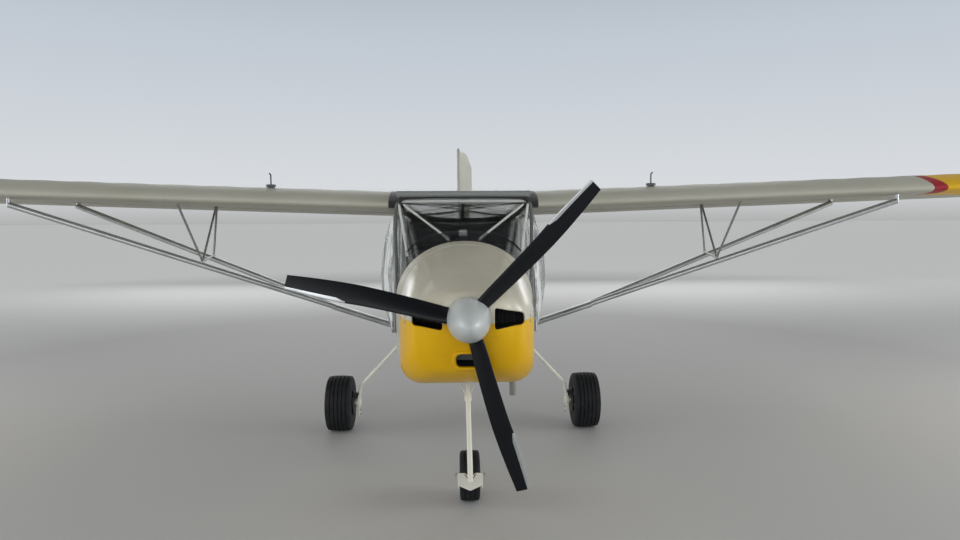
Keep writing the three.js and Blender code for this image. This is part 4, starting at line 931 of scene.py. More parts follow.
def spinner_profile(count=48):
    """Radius at a share t of the length: R * (1 - (1 - t)^2.2)^fullness, then a turned-in rim and back
    plate."""
    t = np.linspace(0, 1, count) ** 1.6
    radius = SPINNER["radius"] * (1 - (1 - t) ** 2.2) ** SPINNER["fullness"]
    station = SPINNER["nose"] + t * (SPINNER["back"] - 0.004 - SPINNER["nose"])
    rim = [(SPINNER["back"] - 0.001, SPINNER["radius"] - 0.002),
           (SPINNER["back"], SPINNER["radius"] - 0.006),
           (SPINNER["back"], 0.0)]
    return np.concatenate([np.stack([station, radius], axis=1), rim])


piece("spinner_shell", *turned_body(spinner_profile(), (0, y_at(0), THRUST_HEIGHT), (0, 1, 0), 96),
      "satin_grey",
      ["spinner"], "propeller")

# %% [markdown]
# A blade is a row of thin sections. Each has a chord, a pitch that flattens towards the tip, and a
# thickness. The section is a real aerofoil: round in front, thickest a third of the way back, thin behind. A
# metal strip guards the leading edge of the outer third, where stones and rain strike.

# %% Blades
BLADE_ANGLES = (46.9, 168.1, -72.3)
# Columns: radius, chord, pitch in degrees, thickness, sweep towards the trailing edge
BLADE = [
    (0.070, 0.092, 44.0, 0.036, 0.000),
    (0.150, 0.097, 38.0, 0.024, 0.001),
    (0.300, 0.097, 30.0, 0.0165, 0.008),
    (0.500, 0.099, 23.0, 0.012, 0.013),
    (0.620, 0.100, 20.0, 0.0098, 0.011),
    (0.760, 0.088, 17.0, 0.0078, 0.009),
    (0.889, 0.070, 13.0, 0.0058, 0.007),
]
BLADE_STATION = -0.020
GUARD_START = 0.590
GUARD_PROUD = 0.0006
GUARD_SHARE = 0.19
GUARD_TAPER = 0.05
GUARD_FIRST = 0.3
SECTION_POINTS = 24


def aerofoil_ring():
    """Unit section: x = cos t from leading (+1/2) to trailing edge. The half thickness follows the usual law
    of a root times powers, scaled to 1/2, with more above than below."""
    t = np.linspace(0, 2 * math.pi, 2 * SECTION_POINTS, endpoint=False)
    share = (1 - np.cos(t)) / 2
    thick = 2.9 * np.sqrt(share) * (1 - share) ** 0.9 + 0.06 * (1 - share)
    thick /= thick.max()
    return 0.5 - share, np.where(np.sin(t) >= 0, 0.62, -0.38) * thick


def blade_rings(degrees, guard=False):
    """Sections along a blade: chord axis and face axis turned by the pitch about the blade's own line. The
    guard keeps only the front share of the chord, from a radius on, and widens there from a third of
    itself."""
    rows = smooth_path(BLADE, 14)
    share, proud = np.ones(len(rows)), 0.0
    if guard:
        rows = rows[rows[:, 0] >= GUARD_START]
        share = GUARD_SHARE * np.interp(rows[:, 0] - GUARD_START, [0.0, GUARD_TAPER], [GUARD_FIRST, 1.0])
        proud = GUARD_PROUD
    turn = math.radians(degrees)
    outwards = np.array([math.cos(turn), 0.0, math.sin(turn)])
    ahead = np.array([-math.sin(turn), 0.0, math.cos(turn)])
    pitch = np.radians(rows[:, 2])[:, None]
    chord_axis = np.cos(pitch) * ahead + np.sin(pitch) * np.array([0.0, -1.0, 0.0])
    face_axis = np.sin(pitch) * ahead + np.cos(pitch) * np.array([0.0, 1.0, 0.0])
    across, thick = aerofoil_ring()
    across = np.maximum(across[None, :], 0.5 - share[:, None])
    centre = np.array([0.0, y_at(BLADE_STATION), THRUST_HEIGHT]) + rows[:, :1] * outwards
    along_chord = across * (rows[:, 1:2] + 2 * proud) - rows[:, 4:5]
    along_face = thick[None, :] * (rows[:, 3:4] + 2 * proud)
    return (centre[:, None, :] + along_chord[:, :, None] * chord_axis[:, None, :]
            - along_face[:, :, None] * face_axis[:, None, :])


for k, degrees in enumerate(BLADE_ANGLES, 1):
    piece(f"blade_{k}", *closed_body(blade_rings(degrees)), "black_composite", [f"propeller_blade_{k}"],
          "propeller")
    piece(f"blade_guard_{k}", *closed_body(blade_rings(degrees, guard=True)), "grey_aluminium",
          body="propeller")
print("blades:", len(BLADE_ANGLES))

# %% [markdown]
# The boot cowl carries the line of the cowling back to the windscreen. It is the same kind of loft, cut by
# two planes: one slopes down along the foot of the screen, the other is the level of the door sill. A dark
# rubber bead closes the sloping edge.

# %% Boot cowl
# Columns as for the cowling
BOOT = [
    (0.9233, 0.400, 0.500, 1.521, 0.060, 0.390, 0.346),
    (1.010, 0.413, 0.500, 1.540, 0.060, 0.406, 0.380),
    (1.250, 0.453, 0.500, 1.590, 0.060, 0.446, 0.430),
]
BOOT_WALL = 0.006
SILL = 0.9003
SCREEN_FRONT = (1.010, 1.540)
SCREEN_BACK = (1.255, 1.160)
SCREEN_SLOPE = (SCREEN_FRONT[1] - SCREEN_BACK[1]) / (SCREEN_BACK[0] - SCREEN_FRONT[0])
SCREEN_GAP = 0.0006
FOOT_MIDDLE = 1.163
FOOT_RISE = 0.380
FOOT_HALF = 0.409
FOOT_SPREAD = 0.044 / 0.252
BEAD_TURN = 1.5
BEAD_RADIUS = 0.005

boot = net(body_sections(BOOT, 14), across=True, flipped=True)
boot = kept_side(*boot, (0, y_at(SCREEN_FRONT[0]), SCREEN_FRONT[1]), (0.0, SCREEN_SLOPE, 1.0))
boot = kept_side(*boot, (0, 0, SILL), LEVEL_DOWN)
walled("boot_skin", *boot, "cream_gelcoat", BOOT_WALL, ["boot_cowl"])


def tube(path, radius, sides=14, flat=1.0, per_span=0):
    """A closed tube along a path; with per_span the path is first rounded into a smooth curve."""
    path = smooth_path(path, per_span) if per_span else np.asarray(path, float)
    return closed_body(carried_ring(path, radius, sides, flat))


def screen_foot(turn):
    """The foot of the windscreen: z = middle + rise * cos(turn) on the slope, x = half width * sin(turn)."""
    z = FOOT_MIDDLE + FOOT_RISE * np.cos(turn)
    station = SCREEN_FRONT[0] + (SCREEN_FRONT[1] + SCREEN_GAP - z) / SCREEN_SLOPE
    half = FOOT_HALF + FOOT_SPREAD * (station - SCREEN_FRONT[0])
    return np.stack([half * np.sin(turn), y_at(station), z], axis=-1)


bead_path = screen_foot(np.linspace(-BEAD_TURN, BEAD_TURN, 90)) + (0, 0.003, 0.002)
piece("screen_bead", *tube(bead_path, BEAD_RADIUS, 10), "black_plastic")
print("boot cowl done")

# %% [markdown]
# The windscreen is one sheet bent over the boot cowl. Straight lines run up from its curved foot to the
# straight bar under the leading edge, so it is a ruled surface: no sheet has to stretch. A dark strip with
# round corners covers its top, where it meets the roof.

# %% Windscreen
SCREEN_TOP = {"half": 0.421, "station": 1.284, "height": 1.822}
SCREEN_WALL = 0.003
SCREEN_COLUMNS = 81
BAND_WALL = 0.001
BAND_SHARE = 0.028
BAND_CORNER = 0.05


def ruled_screen(turn, v):
    """A point on the line from the foot at an angle to the same share of the top bar, v of the way up."""
    foot = screen_foot(turn)
    top = np.stack([turn / (math.pi / 2) * SCREEN_TOP["half"],
                    np.full_like(turn, y_at(SCREEN_TOP["station"])),
                    np.full_like(turn, SCREEN_TOP["height"])], axis=-1)
    return foot + v[..., None] * (top - foot)


def shares(rows, columns):
    """Two grids of shares from 0 to 1: one along the rows, one along the columns."""
    return np.meshgrid(np.linspace(0, 1, rows), np.linspace(0, 1, columns), indexing="ij")


u, v = shares(SCREEN_COLUMNS, 25)
walled("screen_sheet", *net(ruled_screen((u - 0.5) * math.pi, v)), "clear_sheet", SCREEN_WALL,
       ["windscreen"])
u, v = shares(SCREEN_COLUMNS, 5)
band_low = 1 - BAND_SHARE - BAND_CORNER * np.abs(2 * u - 1) ** 20
band = ruled_screen((u - 0.5) * math.pi, band_low + (1.0 - band_low) * v) + (0, -0.0015, 0.0005)
walled("screen_band", *net(band), "black_plastic", BAND_WALL)
print("windscreen done")

# %% [markdown]
# The cage of steel tubes is what the cabin hangs on: dark posts, bars and rails, and crossed stays under the
# roof. The bar and the stays behind the screen are pale. A tube is a circle carried along a path.

# %% Cage
STAY_GREY = painted_metal("stay_grey", (0.80, 0.81, 0.77), (0.68, 0.69, 0.65), 0.4)
POST_RADIUS = 0.011
CAGE_FRONT = [(0.437, 1.270, 0.9004), (0.451, 1.299, 1.690), (0.415, 1.308, 1.785)]
CAGE_BACK = [(0.463, 2.050, 0.9004), (0.451, 2.050, 1.690), (0.430, 2.050, 1.710)]
RAIL_END = (0.430, 2.330, 1.690)
BRACE = [(0.400, 1.306, 1.772), (0.098, 1.238, 1.541)]
BRACE_RADIUS = 0.0075
SLANT = [(0.428, 1.305, 1.776), (0.372, 1.246, 1.432)]
SLANT_RADIUS = 0.009
ROOF_CROSS = [(0.425, 1.32, 1.779), (0.02, 1.70, 1.772), (-0.41, 2.045, 1.716)]
ROOF_CROSS_RADIUS = 0.006
FRONT_BAR = (0.424, 1.308, 1.793)
FRONT_BAR_RADIUS = 0.0105
BACK_BAR_RADIUS = 0.020
SPINE_RADIUS = 0.014


def placed(rows, side=1.0):
    """Rows of (x, station, z) as points of the frame, on one side."""
    rows = np.asarray(rows, float)
    return np.stack([side * rows[:, 0], y_at(rows[:, 1]), rows[:, 2]], axis=1)


def across(row, radius, sides=14):
    """A bar from one side to the other through a row."""
    return tube([placed([row], side)[0] for side in (-1.0, 1.0)], radius, sides)


stays, darks = [], []
for side in (-1.0, 1.0):
    darks.append(tube(placed(CAGE_FRONT, side), POST_RADIUS, per_span=6))
    stays.append(tube(placed(BRACE, side), BRACE_RADIUS))
    stays.append(tube(placed(SLANT, side), SLANT_RADIUS))
    darks.append(tube(placed(CAGE_BACK, side), POST_RADIUS, per_span=6))
    darks.append(tube(placed([CAGE_FRONT[2], CAGE_BACK[2], RAIL_END], side), POST_RADIUS))
    darks.append(tube(placed(ROOF_CROSS, side), ROOF_CROSS_RADIUS))
spine = placed([CAGE_FRONT[2], CAGE_BACK[2], RAIL_END], 0.0)
darks += [across(CAGE_BACK[2], BACK_BAR_RADIUS), across(RAIL_END, POST_RADIUS),
          tube(spine, SPINE_RADIUS, flat=0.6)]
stays.append(across(FRONT_BAR, FRONT_BAR_RADIUS, 20))
piece("cage_bars", *several(darks), "bare_steel", ["cabin_cage"], finish=CAGE_PAINT)
piece("screen_stays", *several(stays), "bare_steel", finish=STAY_GREY)
print("cage tubes:", len(stays) + len(darks))

# %% [markdown]
# Each door is a bubble: a thin sheet blown out between the tubes of its frame. It is a function of two
# parameters over the frame's opening. The bulge is a product of two powers of a sine, so it rises steeply at
# the rim and is nearly flat in the middle. Long folds run down the sheet, and they make the wavy
# reflections, helped by pale streaks in the door's finish that are painted reflections.

# %% Doors
DOOR = {"top": 1.690, "low": 0.925, "top_x": 0.4514, "low_x": 0.4673, "front_top": 1.330, "front_low": 1.303,
        "back": 2.022, "tube": 0.011, "bulge": 0.102, "wall": 0.003, "seam": 0.0155}
DOOR_GREY = painted_metal("door_grey", (0.46, 0.47, 0.45), (0.36, 0.37, 0.36), 0.38)
DOOR_PIN = (0.0, 0.0168, 0.0)
DOOR_PIN_RADIUS = 0.005
DOOR_MIDDLE_RADIUS = 0.007
# Columns: waves along the door, bend with the height, size
FOLDS = [(5.0, 1.3, 0.0020), (9.0, -2.1, 0.0022), (14.0, 3.4, 0.0014), (23.0, -1.0, 0.0007)]


def bubble(u, v, side):
    """Flat frame plus bulge * sin(pi u)^0.55 * sin(pi v)^0.6, plus folds that fade out at the rim: each fold
    is a sine of the distance along the door, bent by the height."""
    z = DOOR["low"] - DOOR["tube"] + (DOOR["top"] - DOOR["low"] + 2 * DOOR["tube"]) * v
    front = DOOR["front_low"] + (DOOR["front_top"] - DOOR["front_low"]) * v - DOOR["tube"]
    station = front + (DOOR["back"] + DOOR["tube"] - front) * u
    flat = DOOR["low_x"] + (DOOR["top_x"] - DOOR["low_x"]) * v + DOOR["seam"]
    inner = np.sin(math.pi * np.clip(u, 0, 1)) * np.sin(math.pi * np.clip(v, 0, 1))
    bulge = DOOR["bulge"] * np.sin(math.pi * u) ** 0.55 * np.sin(math.pi * v) ** 0.6
    fold = sum(size * np.sin(2 * math.pi * (rate * u + bend * v * v) + 1.7 * side * rate)
               for rate, bend, size in FOLDS)
    return np.stack([side * (flat + bulge + fold * inner ** 0.4), y_at(station), z], axis=-1)


def eased(share):
    """Shares of 0..1 moved closer together near both ends, where a bubble turns fastest."""
    return np.clip(0.5 - 0.5 * np.cos(math.pi * share), 0, 1)


door_corners = [(DOOR["top_x"], DOOR["front_top"], DOOR["top"]),
                (DOOR["low_x"], DOOR["front_low"], DOOR["low"]),
                (DOOR["low_x"], DOOR["back"], DOOR["low"]), (DOOR["top_x"], DOOR["back"], DOOR["top"])]
u, v = (eased(share) for share in shares(91, 61))
for side_name, side in SIDES.items():
    body = f"door_{side_name}"
    walled(f"door_sheet_{side_name}", *net(bubble(u, v, side), flipped=side < 0), "clear_sheet",
           DOOR["wall"],
           [f"door_glass_{side_name}"], body, DOOR_SHEET)
    hoop = placed(door_corners, side)
    bars = [tube([hoop[k], hoop[(k + 1) % 4]], DOOR["tube"], 16) for k in range(4)]
    bars += [tube([hoop[0] - DOOR_PIN, hoop[0]], DOOR_PIN_RADIUS),
             tube([hoop[3], hoop[3] + DOOR_PIN], DOOR_PIN_RADIUS)]
    bars.append(tube([0.5 * (hoop[0] + hoop[3]), 0.5 * (hoop[1] + hoop[2])], DOOR_MIDDLE_RADIUS))
    piece(f"door_tubes_{side_name}", *several(bars), "bare_steel", [f"door_frame_{side_name}"], body,
          DOOR_GREY)
print("doors done")

# %% [markdown]
# The roof between the wings is clear sheet too, curved like the nose of a wing so that the air stays
# attached. Its finish, as that of the sheet that slopes down behind the wing, is a fixed grey that lets no
# light through: painted shade for the dim view through the roof. One profile does for the whole width: round
# the nose, up over the top and back to the rear spar.
# Dark cloth tape is wrapped round both joints with the wings.

# %% Roof
WING_ROOT = 0.442
CHORD = 1.420
LEADING_STATION = 1.300
CENTRE_LEADING_HEIGHT = 1.751
DIHEDRAL = 0.0364
SLOPE = math.tan(math.radians(3))
CAMBER = 0.04
CAMBER_PLACE = 0.4
THICKNESS = 0.1
ROOF_NOSE = [(1.306, 1.8175), (1.288, 1.8215), (1.277, 1.830), (1.274, 1.840), (1.280, 1.850),
             (1.298, 1.857),
             (1.330, 1.8600), (1.420, 1.8600)]
ROOF_FROM = 1.56
ROOF_GAP = 0.0004
ROOF_WALL = 0.004
SPAR_STATION = 2.185
# Both sheets are a fixed grey that lets no light through: painted shade for the dim view through the roof.
SHADED_ROOF_SHEET = clear_sheet("shaded_roof_sheet", (0.36, 0.38, 0.375), 2.0, 0.02, alpha=0.74, clearness=0.0)
SHADED_SLOPE_SHEET = clear_sheet("slope_sheet", (0.30, 0.32, 0.31), 2.0, 0.02, alpha=0.45, clearness=0.0)


def aerofoil_height(u, face):
    """Height over the chord as a share of it: the parabolic camber line plus or minus the usual half
    thickness 5 T (0.2969 sqrt(u) - 0.126 u - 0.3516 u^2 + 0.2843 u^3 - 0.1015 u^4)."""
    u = np.clip(u, 0, 1)
    front = CAMBER / CAMBER_PLACE**2 * (2 * CAMBER_PLACE * u - u * u)
    back = CAMBER / (1 - CAMBER_PLACE) ** 2 * (1 - 2 * CAMBER_PLACE + 2 * CAMBER_PLACE * u - u * u)
    half = 5 * THICKNESS * (0.2969 * np.sqrt(u) - 0.126 * u - 0.3516 * u**2 + 0.2843 * u**3 - 0.1015 * u**4)
    return np.where(u < CAMBER_PLACE, front, back) + face * half


def wing_height(x, station, face=1.0):
    """Height of a face of the wing's full chord at a distance from the centre line."""
    u = (station - LEADING_STATION) / CHORD
    return CENTRE_LEADING_HEIGHT + DIHEDRAL * x - u * CHORD * SLOPE + aerofoil_height(u, face) * CHORD


aft = np.linspace(ROOF_FROM, SPAR_STATION, 24)
roof_back = np.stack([aft, wing_height(WING_ROOT, aft)], axis=1)
roof_profile = np.concatenate([smooth_path(ROOF_NOSE, 8), roof_back])
roof_x = np.linspace(ROOF_GAP - WING_ROOT, WING_ROOT - ROOF_GAP, 41)
roof = np.stack(np.broadcast_arrays(roof_x[:, None], y_at(roof_profile[None, :, 0]),
                                    roof_profile[None, :, 1]), axis=-1)
walled("roof_sheet", *net(roof), "clear_sheet", ROOF_WALL, ["roof_fairing", "skylight"], finish=SHADED_ROOF_SHEET)
print("roof profile points:", len(roof_profile))

# %% [markdown]
# The wings are cloth over ribs. Between two ribs the cloth is drawn in a little, so the surface is a row of
# shallow scallops whose ridges show as faint lines. The same aerofoil formula gives the skin, and one cosine
# of the span makes the scallops. At the tip the chord shrinks and the section closes in a rounded edge.

# %% Wing skins
HINGE_STATION = 2.248
FLAP = (0.565, 3.222)
AILERON = (3.236, 5.050)
RIB_SPACING = 0.310
SCALLOP = 0.0035
BAY = 0.012
TIP_START = 5.040
TIP_END = 5.2598
TIP_SWEEP = 0.55
# Columns: distance from the centre line, share of the chord, rise of the chord line
WING_ENDS = [(WING_ROOT, 1.0, 0.0), (TIP_START, 1.0, 0.0), (5.150, 0.965, 0.004), (5.225, 0.87, 0.012),
             (5.260, 0.70, 0.024)]


def wing_points(x, u, face):
    """A point of the wing at a distance x from the centre line, a share u of the chord, on the upper (+1) or
    lower (-1) face. At the tip the leading edge moves aft by a share of the chord that is lost."""
    ends = np.array(WING_ENDS)
    share = np.interp(x, ends[:, 0], ends[:, 1])
    rise = np.interp(x, ends[:, 0], ends[:, 2])
    lost = (1 - share) * CHORD * TIP_SWEEP
    chord = CHORD * share
    between = np.sin(math.pi * (x - WING_ROOT) / RIB_SPACING) ** 2
    cloth = np.clip((u - 0.16) / 0.12, 0, 1) * np.clip((0.60 - u) / 0.05, 0, 1) + 0.25 * (u <= 0.16)
    dip = -face * SCALLOP * between * np.where(u > 0.012, cloth, 0.0)
    base = CENTRE_LEADING_HEIGHT + DIHEDRAL * x + rise
    z = base - lost * SLOPE - u * chord * SLOPE + aerofoil_height(u, face) * chord + dip
    return np.stack([x, y_at(LEADING_STATION + lost + u * chord), z], axis=-1)


def wing_body(x, u):
    """Rings across the span from the rear over the top to the leading edge and back below, closed at the
    ends."""
    face = np.concatenate([np.full(len(u), 1.0), np.full(len(u) - 1, -1.0)])
    grid_x, grid_u = np.meshgrid(x, np.concatenate([u[::-1], u[1:]]), indexing="ij")
    return closed_body(wing_points(grid_x, grid_u, np.broadcast_to(face, grid_u.shape)))


def chord_places(last, count=26):
    """Shares of the chord that lie close together near the leading edge."""
    return last * np.linspace(0, 1, count) ** 2.2


def span_places(first, last, per_rib=10):
    """Distances from the centre line, some to each rib's space."""
    ribs = max(2, round((last - first) / RIB_SPACING))
    return np.linspace(first, last, ribs * per_rib + 1)


spar_share = (SPAR_STATION - LEADING_STATION) / CHORD
behind_spar = spar_share + (1 - spar_share) * np.linspace(0, 1, 10)
front = wing_body(np.concatenate([span_places(WING_ROOT, TIP_START),
                                  np.linspace(TIP_START + 0.02, TIP_END, 16)]),
                  chord_places(spar_share))
root_block = wing_body(np.linspace(WING_ROOT, FLAP[0] - BAY, 4), behind_spar)
tip_block = wing_body(np.linspace(AILERON[1] + BAY, TIP_END, 12), behind_spar)
print("wing rings:", len(front[0]), len(root_block[0]), len(tip_block[0]))

# %% [markdown]
# Behind the spar the wing is open: there the flap and the aileron hang on lugs, each with a round nose that
# turns in the wing's hollow end. The rear face of the wing is a plain wall, as the solid has it.
# Hinge lugs are small plates, each with its pin.

# %% Wings, flaps and ailerons
HINGE_NOSE = 0.045
HINGE_RISE = 0.045
HINGE_SLOT = 0.020
PIN_RADIUS = 0.005
PIN_GAP = 0.0003
LUG_RADIUS = 0.009
LUG_FLAT = 0.44
FLAP_LUGS = (0.900, 1.900, 2.900)
AILERON_LUGS = (3.550, 4.150, 4.750)


def hinge_height(x):
    """Height of the hinge line, a little over the chord line."""
    return CENTRE_LEADING_HEIGHT + DIHEDRAL * x - (HINGE_STATION - LEADING_STATION) * SLOPE + HINGE_RISE


def lug(x):
    """A plate from the spar to just behind the pin, with the pin through it."""
    z = hinge_height(x)
    plate = carried_ring(placed([(x, SPAR_STATION - 0.015, z), (x, HINGE_STATION + 0.008, z)]), LUG_RADIUS,
                         12)
    plate[:, :, 0] = x + (plate[:, :, 0] - x) * LUG_FLAT
    reach = HINGE_SLOT / 2 - PIN_GAP
    pin = placed([(x - reach, HINGE_STATION, z), (x + reach, HINGE_STATION, z)])
    return [closed_body(plate), tube(pin, PIN_RADIUS, 12)]


def nose_ring(x):
    """A surface's round nose at a distance from the centre line: an arc about the hinge, closed behind
    it."""
    turn = np.linspace(math.radians(52), math.radians(308), 16)
    z = hinge_height(x)
    arc = np.stack([np.full(16, x), y_at(HINGE_STATION) + HINGE_NOSE * np.cos(turn),
                    z + HINGE_NOSE * 0.93 * np.sin(turn)], axis=1)
    return np.concatenate([arc, placed([(x, HINGE_STATION + 0.030, z + rise) for rise in (-0.030, 0.030)])])


def moving_surface(first, last, lugs):
    """A flap or aileron between slots for the lugs: the wing's own skin behind the hinge, and a round nose
    round the hinge line in front of it."""
    edges = [first] + [x + sign * HINGE_SLOT / 2 for x in lugs for sign in (-1, 1)] + [last]
    share = (HINGE_STATION + 0.026 - LEADING_STATION) / CHORD
    bodies = [wing_body(span_places(first, last, 6), share + (1 - share) * np.linspace(0, 1, 14))]
    bodies += [closed_body([nose_ring(start), nose_ring(end)]) for start,
               end in zip(edges[::2], edges[1::2])]
    return bodies


pair("wing_skin", [front, root_block, tip_block], "painted_fabric", "wing", finish=WING_CLOTH)
pair("flap_skin", moving_surface(*FLAP, FLAP_LUGS), "painted_fabric", "flap", "flap", WING_CLOTH)
pair("aileron_skin", moving_surface(*AILERON, AILERON_LUGS), "painted_fabric", "aileron", "aileron",
     WING_CLOTH)
pair("hinge_lugs", [body for x in FLAP_LUGS + AILERON_LUGS for body in lug(x)], "grey_aluminium")
print("wings done")

# %% [markdown]
# The lift struts are drawn aluminium of a streamlined section: round in front, drawn out to a thin tail
# behind. Near the foot the two of a side meet in one wider fairing. Thin jury struts stop them from
# flapping, and short fittings join each to the wing.

# %% Struts
STRUT_FOOT = (0.520, 2.010, 0.855)
STRUT_FORK = (0.894, 1.915, 0.996)
STRUT_TOP_FRONT = (2.989, 1.385, 1.784)
STRUT_TOP_REAR = (2.937, 2.140, 1.782)
STRUT_DEPTH = 0.038
STRUT_CHORD = 0.075
STRUT_GAP = 0.012
FAIRING_DEPTH = 0.044
FAIRING_CHORD = 0.126
FAIRING_PAST_FORK = 0.09
JURY_RADIUS = 0.008
JURY_TOP = 1.800
JURY_FEET = (1.850, 1.889)
JURY_GREY = drawn_metal("jury_grey", (0.46, 0.47, 0.46), 0.42)


def unit(vector):
    """The vector divided by its length."""
    return vector / np.linalg.norm(vector)


def streamlined(start, end, depth, chord, count=28, rows=2):
    """A tapered-tail section carried along a line: x = cos t along the flight, thickness = sqrt(share) times
    (1 - share)^0.75 of the chord's share behind the nose, so the nose is round and the tail thin."""
    along = unit(end - start)
    flight = np.array([0.0, 1.0, 0.0])
    flight = unit(flight - (flight @ along) * along)
    up = np.cross(along, flight)
    t = np.linspace(0, 2 * math.pi, count, endpoint=False)
    share = (1 - np.cos(t)) / 2
    thick = np.sign(np.sin(t)) * np.sqrt(share) * (1 - share) ** 0.75
    thick *= 0.5 / thick.max()
    section = (share - 0.5)[:, None] * chord * flight + thick[:, None] * depth * up
    places = np.linspace(0, 1, rows)[:, None, None]
    return closed_body(start + places * (end - start) + section[None])


def on_line(low, high, x):
    """The point at a given x on the line between two points."""
    return low + (x - low[0]) / (high[0] - low[0]) * (high - low)


def fork_fitting(place, reach):
    """A forked plate at a strut's end with its bolt across."""
    plates = [tube([place + (0, dy, -0.014), place + (0, dy, reach)], 0.013, 10,
                   0.35) for dy in (-0.009, 0.009)]
    return plates + [tube([place + (0, -0.017, 0.006), place + (0, 0.017, 0.006)], 0.006, 10)]


foot, fork, top_front, top_rear = placed([STRUT_FOOT, STRUT_FORK, STRUT_TOP_FRONT, STRUT_TOP_REAR])
front_body = [streamlined(fork, top_front, STRUT_DEPTH, STRUT_CHORD),
              streamlined(foot, fork + FAIRING_PAST_FORK * unit(top_front - fork), FAIRING_DEPTH,
                          FAIRING_CHORD, 32, 3)]
front_body += fork_fitting(top_front, 0.052)
front_body.append(tube([foot + (-0.062, 0, -0.004), foot + (0.004, 0, 0)], 0.014, 14, 0.7))
rear_body = [streamlined(fork + STRUT_GAP * unit(top_rear - fork), top_rear, STRUT_DEPTH, STRUT_CHORD)]
rear_body += fork_fitting(top_rear, 0.036)
lift = np.array([0.0, 0.0, STRUT_DEPTH / 2 + JURY_RADIUS])
front_low = on_line(foot, top_front, JURY_FEET[0]) + lift
rear_low = on_line(fork, top_rear, JURY_FEET[1]) + lift
reach = unit(rear_low - front_low) * STRUT_CHORD / 2
front_high, rear_high = placed([(1.915, 1.405, JURY_TOP), (1.890, 2.140, JURY_TOP - 0.010)])
jury = [tube(ends, JURY_RADIUS, 12) for ends in (
    [front_low - reach, rear_low + reach], [front_low, front_high], [rear_low, rear_high],
    [front_low, rear_high - (0, 0.012, 0)])]
pair("strut_front", front_body, "grey_aluminium", "lift_strut_front")
pair("strut_rear", rear_body, "grey_aluminium", "lift_strut_rear")
pair("jury_tubes", jury, "grey_aluminium", "jury_struts", finish=JURY_GREY)
print("struts done")

# %% [markdown]
# The main tyres are wide and square-shouldered with five deep grooves round the tread. A tyre is turned from
# one profile, and the grooves are dips in it: narrow steps down at five distances from the middle.

# %% Main wheels
MAIN_TYRE = {"x": 0.974, "station": 2.150, "radius": 0.216, "half": 0.100, "bead": 0.082}
GROOVES = (-0.66, -0.36, -0.06, 0.24, 0.54)
GROOVE_DEPTH = 0.007
# Columns: share of the half width, share of the rise from bead to tread
TYRE_WALL = [(-0.72, 0.0), (-0.93, 0.10), (-1.0, 0.28), (-1.0, 0.55), (-0.985, 0.74), (-0.94, 0.87),
             (-0.86, 0.955)]
TREAD_EDGE = 0.80
# Columns: distance from the wheel's middle, radius
MAIN_RIM = [(-0.110, 0.0130), (-0.110, 0.094), (-0.104, 0.096), (-0.104, 0.036), (-0.080, 0.034),
            (-0.078, 0.074),
            (-0.070, 0.0815), (0.070, 0.0815), (0.078, 0.074), (0.062, 0.070), (0.030, 0.060),
            (0.024, 0.038),
            (0.062, 0.034), (0.066, 0.030), (0.066, 0.0130)]
HUB_NUTS = 6
HUB_NUT = disc_rows([(-0.004, 0.005), (0.004, 0.005), (0.005, 0.003)])
HUB_NUT_REACH = (0.066, 0.024)


def tyre_profile(half, radius, bead, grooves, groove_depth):
    """(distance, radius) rows: bead, bulging side wall, round shoulder, crowned tread with grooves, and
    back."""
    tread = np.linspace(-TREAD_EDGE, TREAD_EDGE, 81)
    edge = np.abs(tread) / TREAD_EDGE
    crown = 0.985 - 0.03 * edge**3 + 0.015 * (1 - edge**2)
    dips = np.max([np.clip(1.6 - np.abs(tread - place) / 0.022, 0, 1) for place in grooves], axis=0)
    rise = radius - bead
    rows = [(half * a, bead + b * rise) for a, b in TYRE_WALL]
    rows += [(half * a, bead + b * rise - groove_depth * d) for a, b, d in zip(tread, crown, dips)]
    return rows + [(half * -a, bead + b * rise) for a, b in reversed(TYRE_WALL)]


main_profile = tyre_profile(MAIN_TYRE["half"], MAIN_TYRE["radius"], MAIN_TYRE["bead"], GROOVES, GROOVE_DEPTH)
for side_name, side in SIDES.items():
    centre = np.array((side * MAIN_TYRE["x"], y_at(MAIN_TYRE["station"]), MAIN_TYRE["radius"]))
    body = f"main_wheel_{side_name}"
    piece(f"main_tread_{side_name}", *turned_body(main_profile, centre, (side, 0, 0), 96), "tyre_rubber",
          [f"main_tyre_{side_name}"], body)
    hub = [turned_body(MAIN_RIM, centre, (side, 0, 0), 72)]
    for turn in 2 * math.pi * np.arange(HUB_NUTS) / HUB_NUTS:
        aside, away = HUB_NUT_REACH
        spot = centre + (side * aside, away * math.cos(turn), away * math.sin(turn))
        hub.append(turned_body(HUB_NUT, spot, (side, 0, 0), 6))
    piece(f"main_hub_{side_name}", *several(hub), "grey_aluminium", [f"main_wheel_{side_name}"], body,
          DARK_STEEL)
print("main wheels done")

# %% [markdown]
# Each main leg is a plain bent rod, cream, that springs. Its foot carries a plate with the axle and the
# caliper of the disc brake. The plate is an outline in the side view given a few millimetres of thickness.

# %% Main legs
LEG_RADIUS = 0.0122
LEG_PATH = [(0.415, 1.890, 0.800), (0.612, 2.001, 0.580), (0.777, 2.0945, 0.397), (0.804, 2.1105, 0.362),
            (0.8150, 2.1195, 0.322), (0.8195, 2.1290, 0.280), (0.827, 2.142, 0.222)]
AXLE_RADIUS = 0.0118
